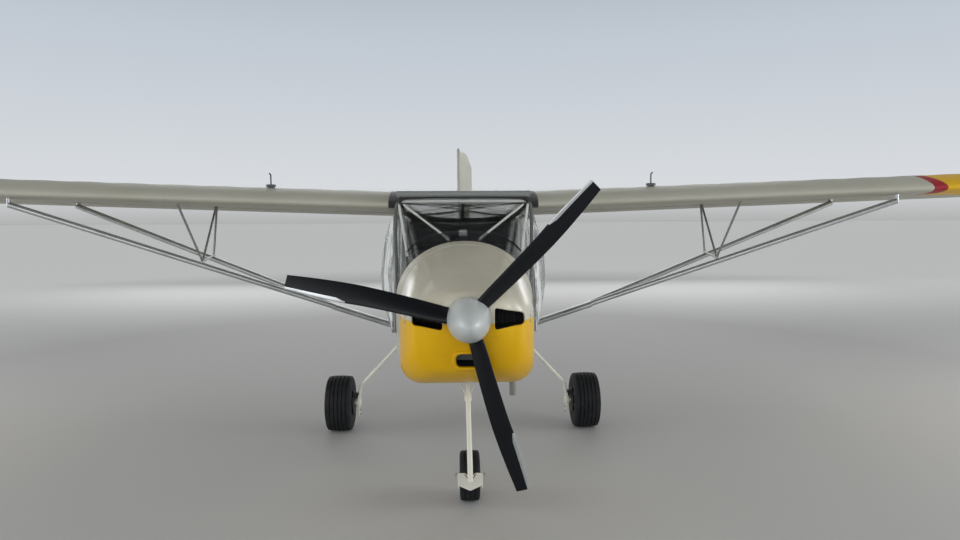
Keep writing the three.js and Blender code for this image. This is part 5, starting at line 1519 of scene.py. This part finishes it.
# Outlines and bolts in the side view, from the axle: (aft, up)
FOOT_PLATE = [(-0.034, 0.062), (0.022, 0.066), (0.036, 0.010), (0.020, -0.110), (-0.012, -0.112),
              (-0.036, -0.020)]
CALIPER = [(0.030, 0.020), (0.096, 0.022), (0.096, 0.068), (0.034, 0.070)]
FOOT_BOLTS = [(-0.014, 0.050), (0.010, 0.052), (0.012, -0.060), (0.002, -0.096), (0.062, 0.046)]
BOLT = disc_rows([(0.0, 0.006), (0.0042, 0.006), (0.006, 0.0048)])
AXLE_COLLAR = disc_rows([(-0.160, 0.030), (-0.150, 0.033), (-0.128, 0.033), (-0.124, 0.028)])
AXLE_NUT = disc_rows([(0.0, 0.018), (0.007, 0.019), (0.010, 0.015)])
HUB_AT = np.array([MAIN_TYRE["station"], MAIN_TYRE["radius"]])


def by_hub(dx, aft=0.0, up=0.0):
    """A point of the frame at a distance from the middle of the left main wheel."""
    return np.array([MAIN_TYRE["x"] + dx, y_at(HUB_AT[0] + aft), HUB_AT[1] + up])


def foot_prism(outline, radius, low, high):
    """A plate beside the wheel: an outline from the axle, rounded, between two distances from the wheel."""
    corners = np.array(outline) + HUB_AT
    return side_prism(rounded_outline(corners, radius), MAIN_TYRE["x"] + low, MAIN_TYRE["x"] + high)


pair("gear_leg",
     [tube(placed(LEG_PATH), LEG_RADIUS, 20, per_span=8), foot_prism(FOOT_PLATE, 0.012, -0.150, -0.140),
                  tube([by_hub(-0.158), by_hub(0.106)], AXLE_RADIUS, 20),
                  turned_body(AXLE_COLLAR, by_hub(0.0), (1, 0, 0), 32)], "cream_steel", "main_leg")
caliper_parts = [foot_prism(CALIPER, 0.010, -0.146, -0.117)]
caliper_parts += [turned_body(BOLT, by_hub(-0.156, aft, up), (1, 0, 0), 6) for aft, up in FOOT_BOLTS]
caliper_parts.append(turned_body(AXLE_NUT, by_hub(0.098), (1, 0, 0), 6))
pair("caliper", caliper_parts, "bare_steel", finish=DARK_STEEL)
print("main legs done")

# %% [markdown]
# The nose leg is a cream tube that leans a little, with two thin arms under the cowling. At its foot a
# folded plate, cut to a point below and with a notch above, holds the axle on both sides of the small tyre.
# The plate's paint lies over a rough surface, so its finish is rougher and blotchier than the tube's.

# %% Nose gear
NOSE_TYRE = {"x": 0.016, "station": 0.726, "radius": 0.147, "half": 0.060, "bead": 0.055}
NOSE_GROOVES = (-0.5, 0.0, 0.5)
NOSE_GROOVE_DEPTH = 0.005
LEG_FOOT = 0.180
LEG_TOP = 0.930
LEG_LINE_TOP = 0.940
LEAN = NOSE_TYRE["x"] / (LEG_LINE_TOP - LEG_FOOT)
ARM = [(0.655, 0.010), (0.700, 0.020), (0.742, 0.037)]
FORK = {"half": 0.073, "front": 0.560, "wall": 0.006, "top": 0.220, "notch": 0.194, "side": 0.149,
        "tip": 0.116}
FORK_NOTCH = 0.030
NOSE_AXLE_REACH = 0.092
NOSE_NUT_AT = 0.081
NOSE_NUT = disc_rows([(-0.006, 0.012), (0.005, 0.013), (0.007, 0.010)])
NOSE_RIM = [(-0.044, 0.0085), (-0.046, 0.030), (-0.034, 0.036), (-0.036, 0.050), (-0.043, 0.0547),
            (0.043, 0.0547),
            (0.036, 0.050), (0.034, 0.036), (0.046, 0.030), (0.044, 0.0085)]
ROUGH_CREAM = painted_metal("rough_cream", (0.86, 0.84, 0.76), (0.66, 0.63, 0.55), 0.5)


def on_leg(z, dx=0.0):
    """A point of the leg's line at a height."""
    return (LEAN * (LEG_LINE_TOP - z) + dx, NOSE_LEG_STATION, z)


leg = [tube(placed([on_leg(LEG_FOOT), on_leg(0.50), on_leg(LEG_TOP)]), (0.0158, 0.0142, 0.0135), 24),
       tube(placed([on_leg(0.650), on_leg(0.684)]), 0.0205, 24)]
leg += [tube(placed([on_leg(z, way * dx) for z, dx in ARM]), 0.0042, 10) for way in (-1, 1)]
nose_x, nose_station, half = NOSE_TYRE["x"], NOSE_TYRE["station"], FORK["half"]
outline = [(-half, FORK["top"]), (-FORK_NOTCH, FORK["top"]), (0, FORK["notch"]), (FORK_NOTCH, FORK["top"]),
           (half, FORK["top"]), (half, FORK["side"]), (0, FORK["tip"]), (-half, FORK["side"])]
outline = rounded_outline(np.array(outline) + (nose_x, 0), 0.004, 4)
plate = [flight_prism(outline, FORK["front"], FORK["front"] + FORK["wall"])]
cheek = [(FORK["front"] + 0.001, -0.022), (FORK["front"] + 0.001, 0.060), (nose_station - 0.030, 0.026),
         (nose_station + 0.024, 0.020), (nose_station + 0.024, -0.022)]
cheek = rounded_outline(np.array(cheek) + (0, FORK["side"]), 0.010, 5)
plate += [side_prism(cheek, *sorted((nose_x + way * (half - FORK["wall"]),
                                     nose_x + way * half))) for way in (-1, 1)]
# A dark tube just in front of the plate along the edge of the notch: painted shade in the notch.
seam = [(dx, FORK["front"] - 0.0004, z) for dx, z in (
    (-0.033, FORK["top"] - 0.003), (-0.012, FORK["notch"] - 0.008), (0.0, FORK["notch"] - 0.012),
    (0.012, FORK["notch"] - 0.008), (0.033, FORK["top"] - 0.003))]
notch_shade_tube = tube(placed(np.array(seam) + (nose_x, 0, 0)), 0.0024, 8, per_span=4)
piece("fork_notch_shade", *notch_shade_tube, "bare_steel", body="nose_gear", finish=DARK_STEEL)
piece("nose_tube", *several(leg), "cream_steel", ["nose_leg"], "nose_gear")
piece("nose_fork", *several(plate), "cream_steel", body="nose_gear", finish=ROUGH_CREAM)
nose_centre = np.array((nose_x, y_at(nose_station), NOSE_TYRE["radius"]))
axle = [tube([nose_centre - (NOSE_AXLE_REACH, 0, 0), nose_centre + (NOSE_AXLE_REACH, 0, 0)], 0.008, 20)]
axle += [turned_body(NOSE_NUT, nose_centre + (way * NOSE_NUT_AT, 0, 0), (way, 0, 0), 6) for way in (-1, 1)]
piece("nose_axle", *several(axle), "cream_steel", body="nose_gear", finish=STRUT_ALUMINIUM)
nose_profile = tyre_profile(NOSE_TYRE["half"], NOSE_TYRE["radius"], NOSE_TYRE["bead"], NOSE_GROOVES,
                            NOSE_GROOVE_DEPTH)
piece("nose_tread", *turned_body(nose_profile, nose_centre, (1, 0, 0), 80), "tyre_rubber", ["nose_tyre"],
      "nose_wheel")
piece("nose_hub", *turned_body(NOSE_RIM, nose_centre, (1, 0, 0), 56), "grey_aluminium", ["nose_wheel"],
      "nose_wheel", CAST_ALLOY)
print("nose gear done")

# %% [markdown]
# Under the cowling the warm air leaves through a shallow lip, and one exhaust stub points straight down. The
# lip is a sheet with a U-shaped section that sinks towards the rear; the stub is a tube with a real bore.

# %% Outlet lip and exhaust
OUTLET = {"middle": 0.0325, "half": 0.3225, "front": 0.690, "back": 0.912, "top": 0.764, "drop": 0.713,
          "rise": 0.80}
OUTLET_WALL = 0.004
EXHAUST_WALL = 0.0015
# Columns: x, height
EXHAUST_LINE = [(0.2155, 1.020), (0.244, 0.985), (0.266, 0.930), (EXHAUST["x"] - 0.0005, 0.870),
                (EXHAUST["x"], 0.780),
                (EXHAUST["x"], EXHAUST["end"])]


def outlet_lip():
    """For each station a U: up both sides, with a floor that is a high power curve, lower towards the
    rear."""
    t = np.linspace(0, 1, 14)[:, None]
    turn = np.linspace(math.pi, 2 * math.pi, 61)[None, :]
    floor_z = OUTLET["top"] + (OUTLET["drop"] - OUTLET["top"]) * t**0.8
    x = OUTLET["middle"] + OUTLET["half"] * np.sign(np.cos(turn)) * np.abs(np.cos(turn)) ** 0.25 + 0 * t
    z = OUTLET["rise"] + (OUTLET["rise"] - floor_z) * -np.abs(np.sin(turn)) ** 0.25
    y = y_at(OUTLET["front"] + (OUTLET["back"] - OUTLET["front"]) * t) + 0 * turn
    return np.stack([x, y, z], axis=-1)


walled("outlet_lip", *net(outlet_lip()), "yellow_gelcoat", OUTLET_WALL)
pipe_path = placed([(x, EXHAUST["station"], z) for x, z in EXHAUST_LINE])
outer = carried_ring(smooth_path(pipe_path, 8), EXHAUST["radius"], 28)
bore = carried_ring(smooth_path(pipe_path[3:], 8), EXHAUST["radius"] - EXHAUST_WALL, 28)[::-1]
piece("exhaust_stub", *closed_body(np.concatenate([outer, bore])), "bare_steel", ["exhaust_pipe"])
print("outlet and exhaust done")

# %% [markdown]
# Behind the cowling the body goes on as one loft: a deep tub under the doors, then the long tail cone. The
# tub's wall is thick enough to make a ledge under each door. The cone is closed at its rear end.

# %% Tub and tail cone
# Columns as for the cowling
TUB = [
    (0.9233, 0.400, 0.735, 1.800, 0.120, 0.060, 0.060),
    (1.250, 0.452, 0.715, 1.800, 0.125, 0.060, 0.060),
    (1.600, 0.478, 0.712, 1.800, 0.120, 0.060, 0.060),
    (2.050, 0.480, 0.722, 1.800, 0.120, 0.060, 0.060),
    (2.400, 0.468, 0.765, 1.800, 0.120, 0.060, 0.060),
]
TUB_WALL = 0.020
TUB_GAP = 0.0003
CONE = [
    (2.4003, 0.468, 0.765, 1.690, 0.120, 0.060, 0.040),
    (2.800, 0.424, 0.850, 1.690, 0.110, 0.070, 0.045),
    (3.600, 0.306, 1.058, 1.698, 0.090, 0.080, 0.050),
    (4.450, 0.176, 1.283, 1.7147, 0.060, 0.080, 0.050),
    (5.279, 0.045, 1.470, 1.7147, 0.030, 0.035, 0.030),
]
CONE_WALL = 0.006

tub_rings = body_sections(TUB, 12)
tub = kept_side(*net(tub_rings, across=True, flipped=True), (0, 0, SILL - TUB_GAP), LEVEL_UP)
walled("tub_skin", *tub, "cream_gelcoat", TUB_WALL, ["cabin_tub"])
cone_rings = body_sections(CONE, 16)
end_ring = np.repeat(cone_rings[-1].mean(0)[None, :], cone_rings.shape[1], axis=0)
cone_rings = np.concatenate([cone_rings, [end_ring]])
walled("tail_cone", *net(cone_rings, across=True, flipped=True), "painted_fabric", CONE_WALL,
       ["fuselage_rear"])
print("body rings:", len(tub_rings), len(cone_rings))

# %% [markdown]
# The clear side windows behind the doors and the sheet that slopes down behind the wing are nearly flat.
# Each gets a shallow swell, a product of two parabolas, since a sheet that is held at its edges is never
# flat.

# %% Rear glazing
SIDE_WINDOW = {"front": 2.064, "back": 2.397, "low": 0.9008, "top": 1.676, "low_x": 0.468, "top_x": 0.443}
WINDOW_TAPER = 0.010
REAR_SLOPE = np.array([(WING_ROOT - ROOF_GAP, 2.189, wing_height(WING_ROOT, SPAR_STATION)),
                       (0.421, 2.398, 1.691)])
SWELL = 0.006
SHEET_WALL = 0.003

u, v = shares(25, 41)
swell = SWELL * 16 * u * (1 - u) * v * (1 - v)
window_x = SIDE_WINDOW["low_x"] + (SIDE_WINDOW["top_x"]
                                   - SIDE_WINDOW["low_x"]) * v - WINDOW_TAPER * u + swell
window_y = y_at(SIDE_WINDOW["front"] + (SIDE_WINDOW["back"] - SIDE_WINDOW["front"]) * u)
window_z = SIDE_WINDOW["low"] + (SIDE_WINDOW["top"] - SIDE_WINDOW["low"]) * v
for side_name, side in SIDES.items():
    window = np.stack([side * window_x, window_y, window_z], axis=-1)
    walled(f"window_sheet_{side_name}", *net(window, flipped=side < 0), "clear_sheet", SHEET_WALL,
           [f"side_window_{side_name}"])
edge = REAR_SLOPE[0] + v[..., None] * (REAR_SLOPE[1] - REAR_SLOPE[0])
slope = np.stack([(2 * u - 1) * edge[..., 0], y_at(edge[..., 1]), edge[..., 2] + swell], axis=-1)
# Its grey finish is painted shade.
walled("slope_sheet", *net(slope), "clear_sheet", SHEET_WALL, ["rear_roof"], finish=SHADED_SLOPE_SHEET)
print("rear glazing done")

# %% [markdown]
# The tail surfaces are cloth over thin steel tubes: a round rim all the way round, nearly flat between, and
# the cloth sinks a little from one rib to the next. One function makes all four. Near an edge, at a distance
# d, the half thickness is the quarter circle sqrt(h^2 - (h - d)^2), so the rim is round.

# %% Tail
TAILPLANE = {"centre": 4.560, "tip": 4.760, "back": 5.150, "half": 1.350, "height": 1.735, "thick": 0.040}
ELEVATOR = {"hinge": 5.172, "back": 5.585, "inner": 0.070, "inner_back": 0.175, "nose": 0.017}
ELEVATOR_LUGS = (0.450, 1.150)
FIN = {"root_front": 4.650, "top_front": 5.040, "back": 5.282, "low": 1.7556, "high": 2.500, "thick": 0.036}
RUDDER = {"hinge": 5.302, "chord": 0.534, "low": 1.480, "high": 2.480, "nose": 0.015,
          "rest": math.radians(19)}
RUDDER_LUGS = (1.560, 1.950, 2.330)
LUG_ROOT = 0.025
TAIL_RIB = 0.225
TAIL_SAG = 0.0035
TAIL_EDGE = 0.06
REAR_THINNING = 0.6
TORQUE_TUBE = (0.110, 0.012)
# Corners of a lug's slot, from the hinge: (across the surface, aft)
SLOT_CORNERS = [(-0.06, -0.10), (0.06, -0.10), (0.06, 0.022), (-0.06, 0.022)]


def rim_share(distance, half):
    """Height of a quarter circle of radius half at a distance from its edge, as a share of the radius."""
    return np.sqrt(np.clip(1 - (1 - np.clip(distance / half, 0, 1)) ** 2, 0, 1))


def framed_surface(first, last, front, back, half, thin=1.0):
    """Rings of (span, station, offset): round rim, flat between, the cloth sunk between ribs; thin scales
    the thickness at the rear edge. Front and back are rows of (span, station), joined by straight lines."""
    ends = half * (1 - np.cos(np.linspace(0.05, math.pi / 2, 6)))
    inner = np.arange(first + half, last - half, TAIL_RIB / 8)
    span = np.concatenate([first + ends, inner[1:], last - ends[::-1]])
    start, stop = (np.interp(span, *np.transpose(rows))[:, None] for rows in (front, back))
    rim = TAIL_EDGE * (1 - np.cos(np.linspace(0, math.pi / 2, 7)))
    u = np.concatenate([rim, np.linspace(TAIL_EDGE, 1 - TAIL_EDGE, 20)[1:-1], 1 - rim[::-1]])[None, :]
    depth = stop - start
    full = half * (1 + (thin - 1) * u)
    sag = TAIL_SAG * np.abs(np.sin(math.pi * (span[:, None] - first)
                                   / TAIL_RIB)) ** 0.8 * np.sin(math.pi * u) ** 0.5
    height = (full - sag) * rim_share(u * depth, half) * rim_share((1 - u) * depth, half)
    height *= np.clip(rim_share(np.minimum(span - first, last - span)[:, None], half), 0.12, 1)
    height = np.maximum(height, 0.0008)
    station = start + depth * u
    top = np.stack([span[:, None] + 0 * u, station, height], axis=-1)
    return np.concatenate([top, (top * (1, 1, -1))[:, ::-1]], axis=1)


def lying(rings):
    """A framed surface laid flat at the tailplane's height."""
    return np.stack([rings[..., 0], y_at(rings[..., 1]), TAILPLANE["height"] + rings[..., 2]], axis=-1)


def about_rudder_hinge(across, aft, turn):
    """x and y of a point beside the rudder's hinge, turned about it."""
    return (across * math.cos(turn) + aft * math.sin(turn),
            y_at(RUDDER["hinge"]) + aft * math.cos(turn) - across * math.sin(turn))


def standing(rings, turn=0.0):
    """A framed surface stood on edge, turned about the rudder's hinge."""
    x, y = about_rudder_hinge(rings[..., 2], rings[..., 1] - RUDDER["hinge"], turn)
    return np.stack([x, y, rings[..., 0]], axis=-1)


def tail_lug(root, pin, along):
    """A plate from a surface to its pin, and the pin, whose line is the axis along."""
    root, pin, along = np.array(root), np.array(pin), np.array(along)
    middle = np.array([root, pin + (0, 0.008, 0)])
    plate = carried_ring(middle, 0.008, 12)
    plate = middle[:, None, :] + (plate - middle[:, None, :]) * np.where(along != 0, 0.5, 1.0)
    half_pin = along * (HINGE_SLOT / 2 - PIN_GAP)
    return [closed_body(plate), tube([pin - half_pin, pin + half_pin], PIN_RADIUS, 12)]


across_slot, aft_slot = np.transpose(SLOT_CORNERS)
half_slot = HINGE_SLOT / 2
plane_half, plane_z = TAILPLANE["half"], TAILPLANE["height"]
hinge, back, plane_tip = ELEVATOR["hinge"], ELEVATOR["back"], TAILPLANE["tip"]
plane = framed_surface(
    -plane_half, plane_half,
    [(-plane_half, plane_tip + 0.06), (0.09 - plane_half, plane_tip), (0, TAILPLANE["centre"]),
     (plane_half - 0.09, plane_tip), (plane_half, plane_tip + 0.06)],
    [(0, TAILPLANE["back"])], TAILPLANE["thick"] / 2)
elevator_places = [side * x for x in ELEVATOR_LUGS for side in (-1, 1)]
plane_bodies = [closed_body(lying(plane))]
for x in elevator_places:
    plane_bodies += tail_lug((x, y_at(TAILPLANE["back"] - LUG_ROOT), plane_z), (x, y_at(hinge), plane_z),
                             (1, 0, 0))
piece("tailplane_skin", *several(plane_bodies), "painted_fabric", ["tailplane"])
half_points, half_faces = closed_body(lying(framed_surface(
    ELEVATOR["inner"], plane_half, [(0, hinge - ELEVATOR["nose"])],
    [(ELEVATOR["inner"], hinge + 0.02), (ELEVATOR["inner_back"], back), (plane_half - 0.12, back),
     (plane_half, back - 0.11)],
    ELEVATOR["nose"], REAR_THINNING)))
elevator = [(mirrored(half_points, side), half_faces) for side in (-1, 1)]
elevator.append(across((TORQUE_TUBE[0], hinge, plane_z), TORQUE_TUBE[1], 20))
made = piece("elevator_skin", *several(elevator), "painted_fabric", ["elevator"], "elevator")
slots = []
for x in elevator_places:
    rings = [[(x + dx, y_at(hinge + aft), plane_z + up) for up, aft in SLOT_CORNERS] for dx in (-half_slot,
                                                                                                half_slot)]
    slots.append(cutter(*closed_body(rings)))
holed(made, slots)
fin = framed_surface(
    FIN["low"], FIN["high"],
    [(FIN["low"], FIN["root_front"]), (1.835, 4.710), (FIN["high"] - 0.06, FIN["top_front"]),
     (FIN["high"], FIN["top_front"] + 0.09)],
    [(0, FIN["back"])], FIN["thick"] / 2)
fin_bodies = [closed_body(standing(fin))]
for z in RUDDER_LUGS[1:]:
    fin_bodies += tail_lug((0, y_at(FIN["back"] - LUG_ROOT), z), (0, y_at(RUDDER["hinge"]), z), (0, 0, 1))
piece("fin_skin", *several(fin_bodies), "painted_fabric", ["fin"])
rudder = framed_surface(
    RUDDER["low"], RUDDER["high"], [(0, RUDDER["hinge"] - RUDDER["nose"])],
    [(z, RUDDER["hinge"] + chord) for z, chord in (
        (RUDDER["low"], 0.340), (1.700, RUDDER["chord"]), (2.300, RUDDER["chord"]),
        (RUDDER["high"] - 0.02, 0.330),
        (RUDDER["high"], 0.200))],
    RUDDER["nose"], REAR_THINNING)
made = piece("rudder_skin", *closed_body(standing(rudder, RUDDER["rest"])), "painted_fabric", ["rudder"],
             "rudder")
x, y = about_rudder_hinge(across_slot, aft_slot, RUDDER["rest"])
holed(made, [cutter(*closed_body([np.stack([x, y, np.full(4, z + dz)], axis=1) for dz in (-half_slot,
                                                                                          half_slot)]))
             for z in RUDDER_LUGS])
low_lug = tail_lug((0, y_at(CONE[-1][0] - 0.004), RUDDER_LUGS[0]),
                   (0, y_at(RUDDER["hinge"]), RUDDER_LUGS[0]),
                   (0, 0, 1))
piece("lowest_lug", *several(low_lug), "grey_aluminium")
print("tail done")

# %% [markdown]
# Small things on the wing are what the eye checks its size by: a fuel cap on a neck over each tank with a
# bent vent pipe, and dark tape round both joints with the roof. The tape follows the aerofoil 1.5 mm outside
# it.

# %% Caps, vents and tape
CAP = {"x": 1.336, "station": 1.600, "radius": 0.034, "rise": 0.120, "neck": 0.026}
CAP_GREY = satin("cap_grey", (0.11, 0.115, 0.12), (0.07, 0.075, 0.08), 0.4)
# Columns: station from the cap's middle, height over the cap
VENT = [(0.0, -0.004), (0.0, 0.050), (-0.006, 0.068), (-0.034, 0.074)]
VENT_RADIUS = 0.0052
TAPE_BLACK = woven("tape_black", (0.030, 0.030, 0.032), (0.014, 0.014, 0.015), 260.0)
TAPE = (0.392, 0.498)
TAPE_PROUD = 0.0015
TAPE_WALL = 0.001
TAPE_END = 0.56
TAPE_LOWER = 0.012

cap_z = CENTRE_LEADING_HEIGHT + DIHEDRAL * CAP["x"] + CAP["rise"]
foot_z = float(wing_height(CAP["x"], CAP["station"])) - 0.010
cap_rows = [(foot_z, CAP["neck"]), (cap_z - 0.016, CAP["neck"]), (cap_z - 0.016, CAP["radius"]),
            (cap_z - 0.003, CAP["radius"]), (cap_z, CAP["radius"] - 0.004)]
vent = [(CAP["x"], CAP["station"] + aft, cap_z + up) for aft, up in VENT]
pair("fuel_cap", [turned_body(disc_rows(cap_rows), (CAP["x"], y_at(CAP["station"]), 0.0), (0, 0, 1), 40),
                  tube(placed(vent), VENT_RADIUS, 12, per_span=5)], "black_plastic", finish=CAP_GREY)
upper_share, lower_share = chord_places(TAPE_END)[::-1], chord_places(TAPE_LOWER, 6)[1:]
station = LEADING_STATION + np.concatenate([upper_share, lower_share]) * CHORD
face = np.concatenate([np.ones(len(upper_share)), -np.ones(len(lower_share))])
rows = []
for x in np.linspace(*TAPE, 7):
    out = np.stack([station, wing_height(max(x, WING_ROOT), station, face)], axis=1)
    tangent = np.gradient(out, axis=0)
    tangent /= np.linalg.norm(tangent, axis=1)[:, None]
    out += TAPE_PROUD * np.stack([tangent[:, 1], -tangent[:, 0]], axis=1)
    rows.append(np.stack([np.full(len(out), x), y_at(out[:, 0]), out[:, 1]], axis=1))
for side_name, side in SIDES.items():
    strip = mirrored(np.array(rows), side)
    walled(f"root_tape_{side_name}", *net(strip, flipped=side < 0), "black_plastic", TAPE_WALL,
           finish=TAPE_BLACK)
print("caps and tape done")

# %% [markdown]
# The instrument panel sits under a dark shield that arches across the cabin. Its section is the curve
# z = foot + rise * (1 - (|x| / half)^3)^(1/3), flatter than an ellipse on top. Round instruments show their
# bezels to the seats and their cans to the front. Their scales are plain ticks.

# %% Panel
SHIELD = {"half": 0.420, "foot": 1.200, "rise": 0.385, "front": 1.150, "back": 1.243, "wall": 0.004,
          "end": 0.37}
# Columns: x, height, radius
DIALS = [(-0.250, 1.390, 0.040), (-0.160, 1.410, 0.040), (-0.070, 1.420, 0.040), (0.020, 1.420, 0.028),
         (0.085, 1.415, 0.028), (0.150, 1.405, 0.028), (0.215, 1.390, 0.028), (-0.205, 1.290, 0.028),
         (-0.130, 1.300, 0.028)]
PANEL_FACE = 1.2402
PANEL_THICKNESS = 0.015
DIAL_WHITE = satin("dial_white", (0.75, 0.75, 0.72), (0.68, 0.68, 0.65), 0.5)
TICKS = 12
TICK_FACE = (0, 0.0012, 0)
HAND_FACE = (0, 0.002, 0)
COMPASS = [(-0.0345, 1.5715), (0.0205, 1.5715), (0.0175, 1.5995), (-0.0315, 1.5995)]

arch_x = np.linspace(SHIELD["end"], -SHIELD["end"], 61)
arch_share = np.abs(arch_x / SHIELD["half"])
arch_z = SHIELD["foot"] + SHIELD["rise"] * np.clip(1 - arch_share**3, 0, 1) ** (1 / 3)
arch = np.stack([arch_x, arch_z], axis=1)
shield = np.array([front_ring(arch, station) for station in np.linspace(SHIELD["front"], SHIELD["back"], 5)])
walled("panel_shield", *net(shield), "black_plastic", SHIELD["wall"])
bezels, cans, marks = [], [], []
for x, z, radius in DIALS:
    spot = np.array((x, y_at(PANEL_FACE), z))
    ring = [(0.0, radius - 0.004), (0.0, radius + 0.003), (0.004, radius + 0.003), (0.006, radius),
            (0.006, radius - 0.003), (0.002, radius - 0.004)]
    bezels.append(turned_body(ring, spot, (0, 1, 0), 36))
    can_rows = disc_rows([(-0.080, radius * 0.86), (-0.078, radius * 0.90), (-0.002, radius * 0.90)])
    cans.append(turned_body(can_rows, spot - (0, PANEL_THICKNESS, 0), (0, 1, 0), 28))
    for k in range(TICKS):
        angle = 2 * math.pi * (k + 0.5) / TICKS
        away = np.array([math.cos(angle), 0.0, math.sin(angle)]) * radius
        marks.append(tube([spot + TICK_FACE + away * 0.68, spot + TICK_FACE + away * 0.84], 0.0009, 5))
    angle = 2.2 + 3 * x * 7
    hand = np.array([math.cos(angle), 0.0, math.sin(angle)]) * radius
    marks.append(tube([spot + HAND_FACE - hand * 0.15, spot + HAND_FACE + hand * 0.6], 0.0011, 5))
piece("dial_bezels", *several(bezels), "black_plastic")
piece("dial_cans", *several(cans), "grey_aluminium")
piece("dial_marks", *several(marks), "satin_grey", finish=DIAL_WHITE)
compass = flight_prism(rounded_outline(COMPASS, 0.006, 5), 1.185, 1.238)
piece("compass_case", *compass, "satin_grey", finish=PALE_PLASTIC)
print("dials:", len(DIALS))

# %% [markdown]
# Each seat is a thin shell with two pads. A pad is sewn cloth over foam: its shape comes from a cloth
# simulation that blows a remeshed block up a little, with a limit on how far a point may go.
# Only one side is simulated, and the other is its mirror image.

# %% Seats
SEAT_INNER = 0.034
SEAT_OUTER = 0.408
SHELL_GAP = 0.004
PAD_GAP = 0.006
SEAT_SHELL = [(1.680, 0.732), (2.060, 0.732), (2.060, 0.880), (2.232, 1.478), (2.205, 1.486), (2.030, 0.905),
              (1.626, 0.905), (1.622, 0.885)]
# Columns: station and height of the lower rear edge, depth, rise, tilt
PADS = {"cushion": (1.628, 0.906, 0.345, 0.078, 0.0),
        "backrest": (1.955, 0.995, 0.078, 0.470, math.radians(16.5))}
PAD_POWER = 2 / 7
VOXEL = 0.006
SWELL_LIMIT = 0.012
PRESSURE = 4.0
SIM_FRAMES = 20
SMOOTH_STEPS = 6


def bent(value):
    """The value to a small power, with its sign kept."""
    return np.sign(value) * np.abs(value) ** PAD_POWER


def pad_block(station, low, depth, rise, tilt):
    """A block with round edges: a superellipsoid |a|^7 + |b|^7 + |c|^7 = 1 stretched to the pad's size and
    turned about its lower edge."""
    theta, phi = np.meshgrid(np.linspace(0, 2 * math.pi, 96, endpoint=False),
                             np.linspace(-math.pi / 2, math.pi / 2, 49)[1:-1], indexing="xy")
    half = np.array([SEAT_OUTER - SEAT_INNER - 2 * PAD_GAP, depth, rise]) / 2
    ball = np.stack([bent(np.cos(theta)) * bent(np.cos(phi)), bent(np.sin(theta)) * bent(np.cos(phi)),
                     bent(np.sin(phi))], axis=-1)
    points = ball * half + (0, half[1], half[2])
    y = points[..., 1] * math.cos(tilt) + points[..., 2] * math.sin(tilt)
    z = points[..., 2] * math.cos(tilt) - points[..., 1] * math.sin(tilt)
    x = points[..., 0] + (SEAT_INNER + SEAT_OUTER) / 2
    return closed_body(np.stack([x, y_at(station) + y, low + z], axis=-1))


def blown(made):
    """The pad after the cloth simulation: remeshed, swollen by an inner pressure, each point held in a
    limit."""
    remesh = made.modifiers.new("remesh", "REMESH")
    remesh.mode = "VOXEL"
    remesh.voxel_size = VOXEL
    settled(made)
    start = np.array([vertex.co for vertex in made.data.vertices])
    cloth = made.modifiers.new("cloth", "CLOTH")
    cloth.settings.use_pressure = True
    cloth.settings.uniform_pressure_force = PRESSURE
    cloth.settings.effector_weights.gravity = 0.0
    cloth.point_cache.frame_start = 1
    cloth.point_cache.frame_end = SIM_FRAMES
    for frame_number in range(1, SIM_FRAMES + 1):
        bpy.context.scene.frame_set(frame_number)
    graph = bpy.context.evaluated_depsgraph_get()
    grown = made.evaluated_get(graph).to_mesh()
    moved = np.array([vertex.co for vertex in grown.vertices]) - start
    reach = np.linalg.norm(moved, axis=1)[:, None]
    made.modifiers.clear()
    kept = start + moved * np.minimum(1.0, SWELL_LIMIT / np.maximum(reach, 1e-9))
    made.data.vertices.foreach_set("co", kept.ravel())
    made.data.update()
    smooth = made.modifiers.new("smooth", "CORRECTIVE_SMOOTH")
    smooth.iterations = SMOOTH_STEPS
    smooth.use_only_smooth = True
    return settled(made)


pair("seat_shell", [side_prism(SEAT_SHELL, SEAT_INNER + SHELL_GAP, SEAT_OUTER - SHELL_GAP)], "black_plastic",
     "seat")
for name, row in PADS.items():
    pad = piece(f"{name}_left", *pad_block(*row), "seat_cloth")
    blown(pad)
    twin_points = mirrored(np.array([vertex.co for vertex in pad.data.vertices]), -1.0)
    twin = piece(f"{name}_right", twin_points, [list(face.vertices) for face in pad.data.polygons],
                 "seat_cloth")
print("seats done")
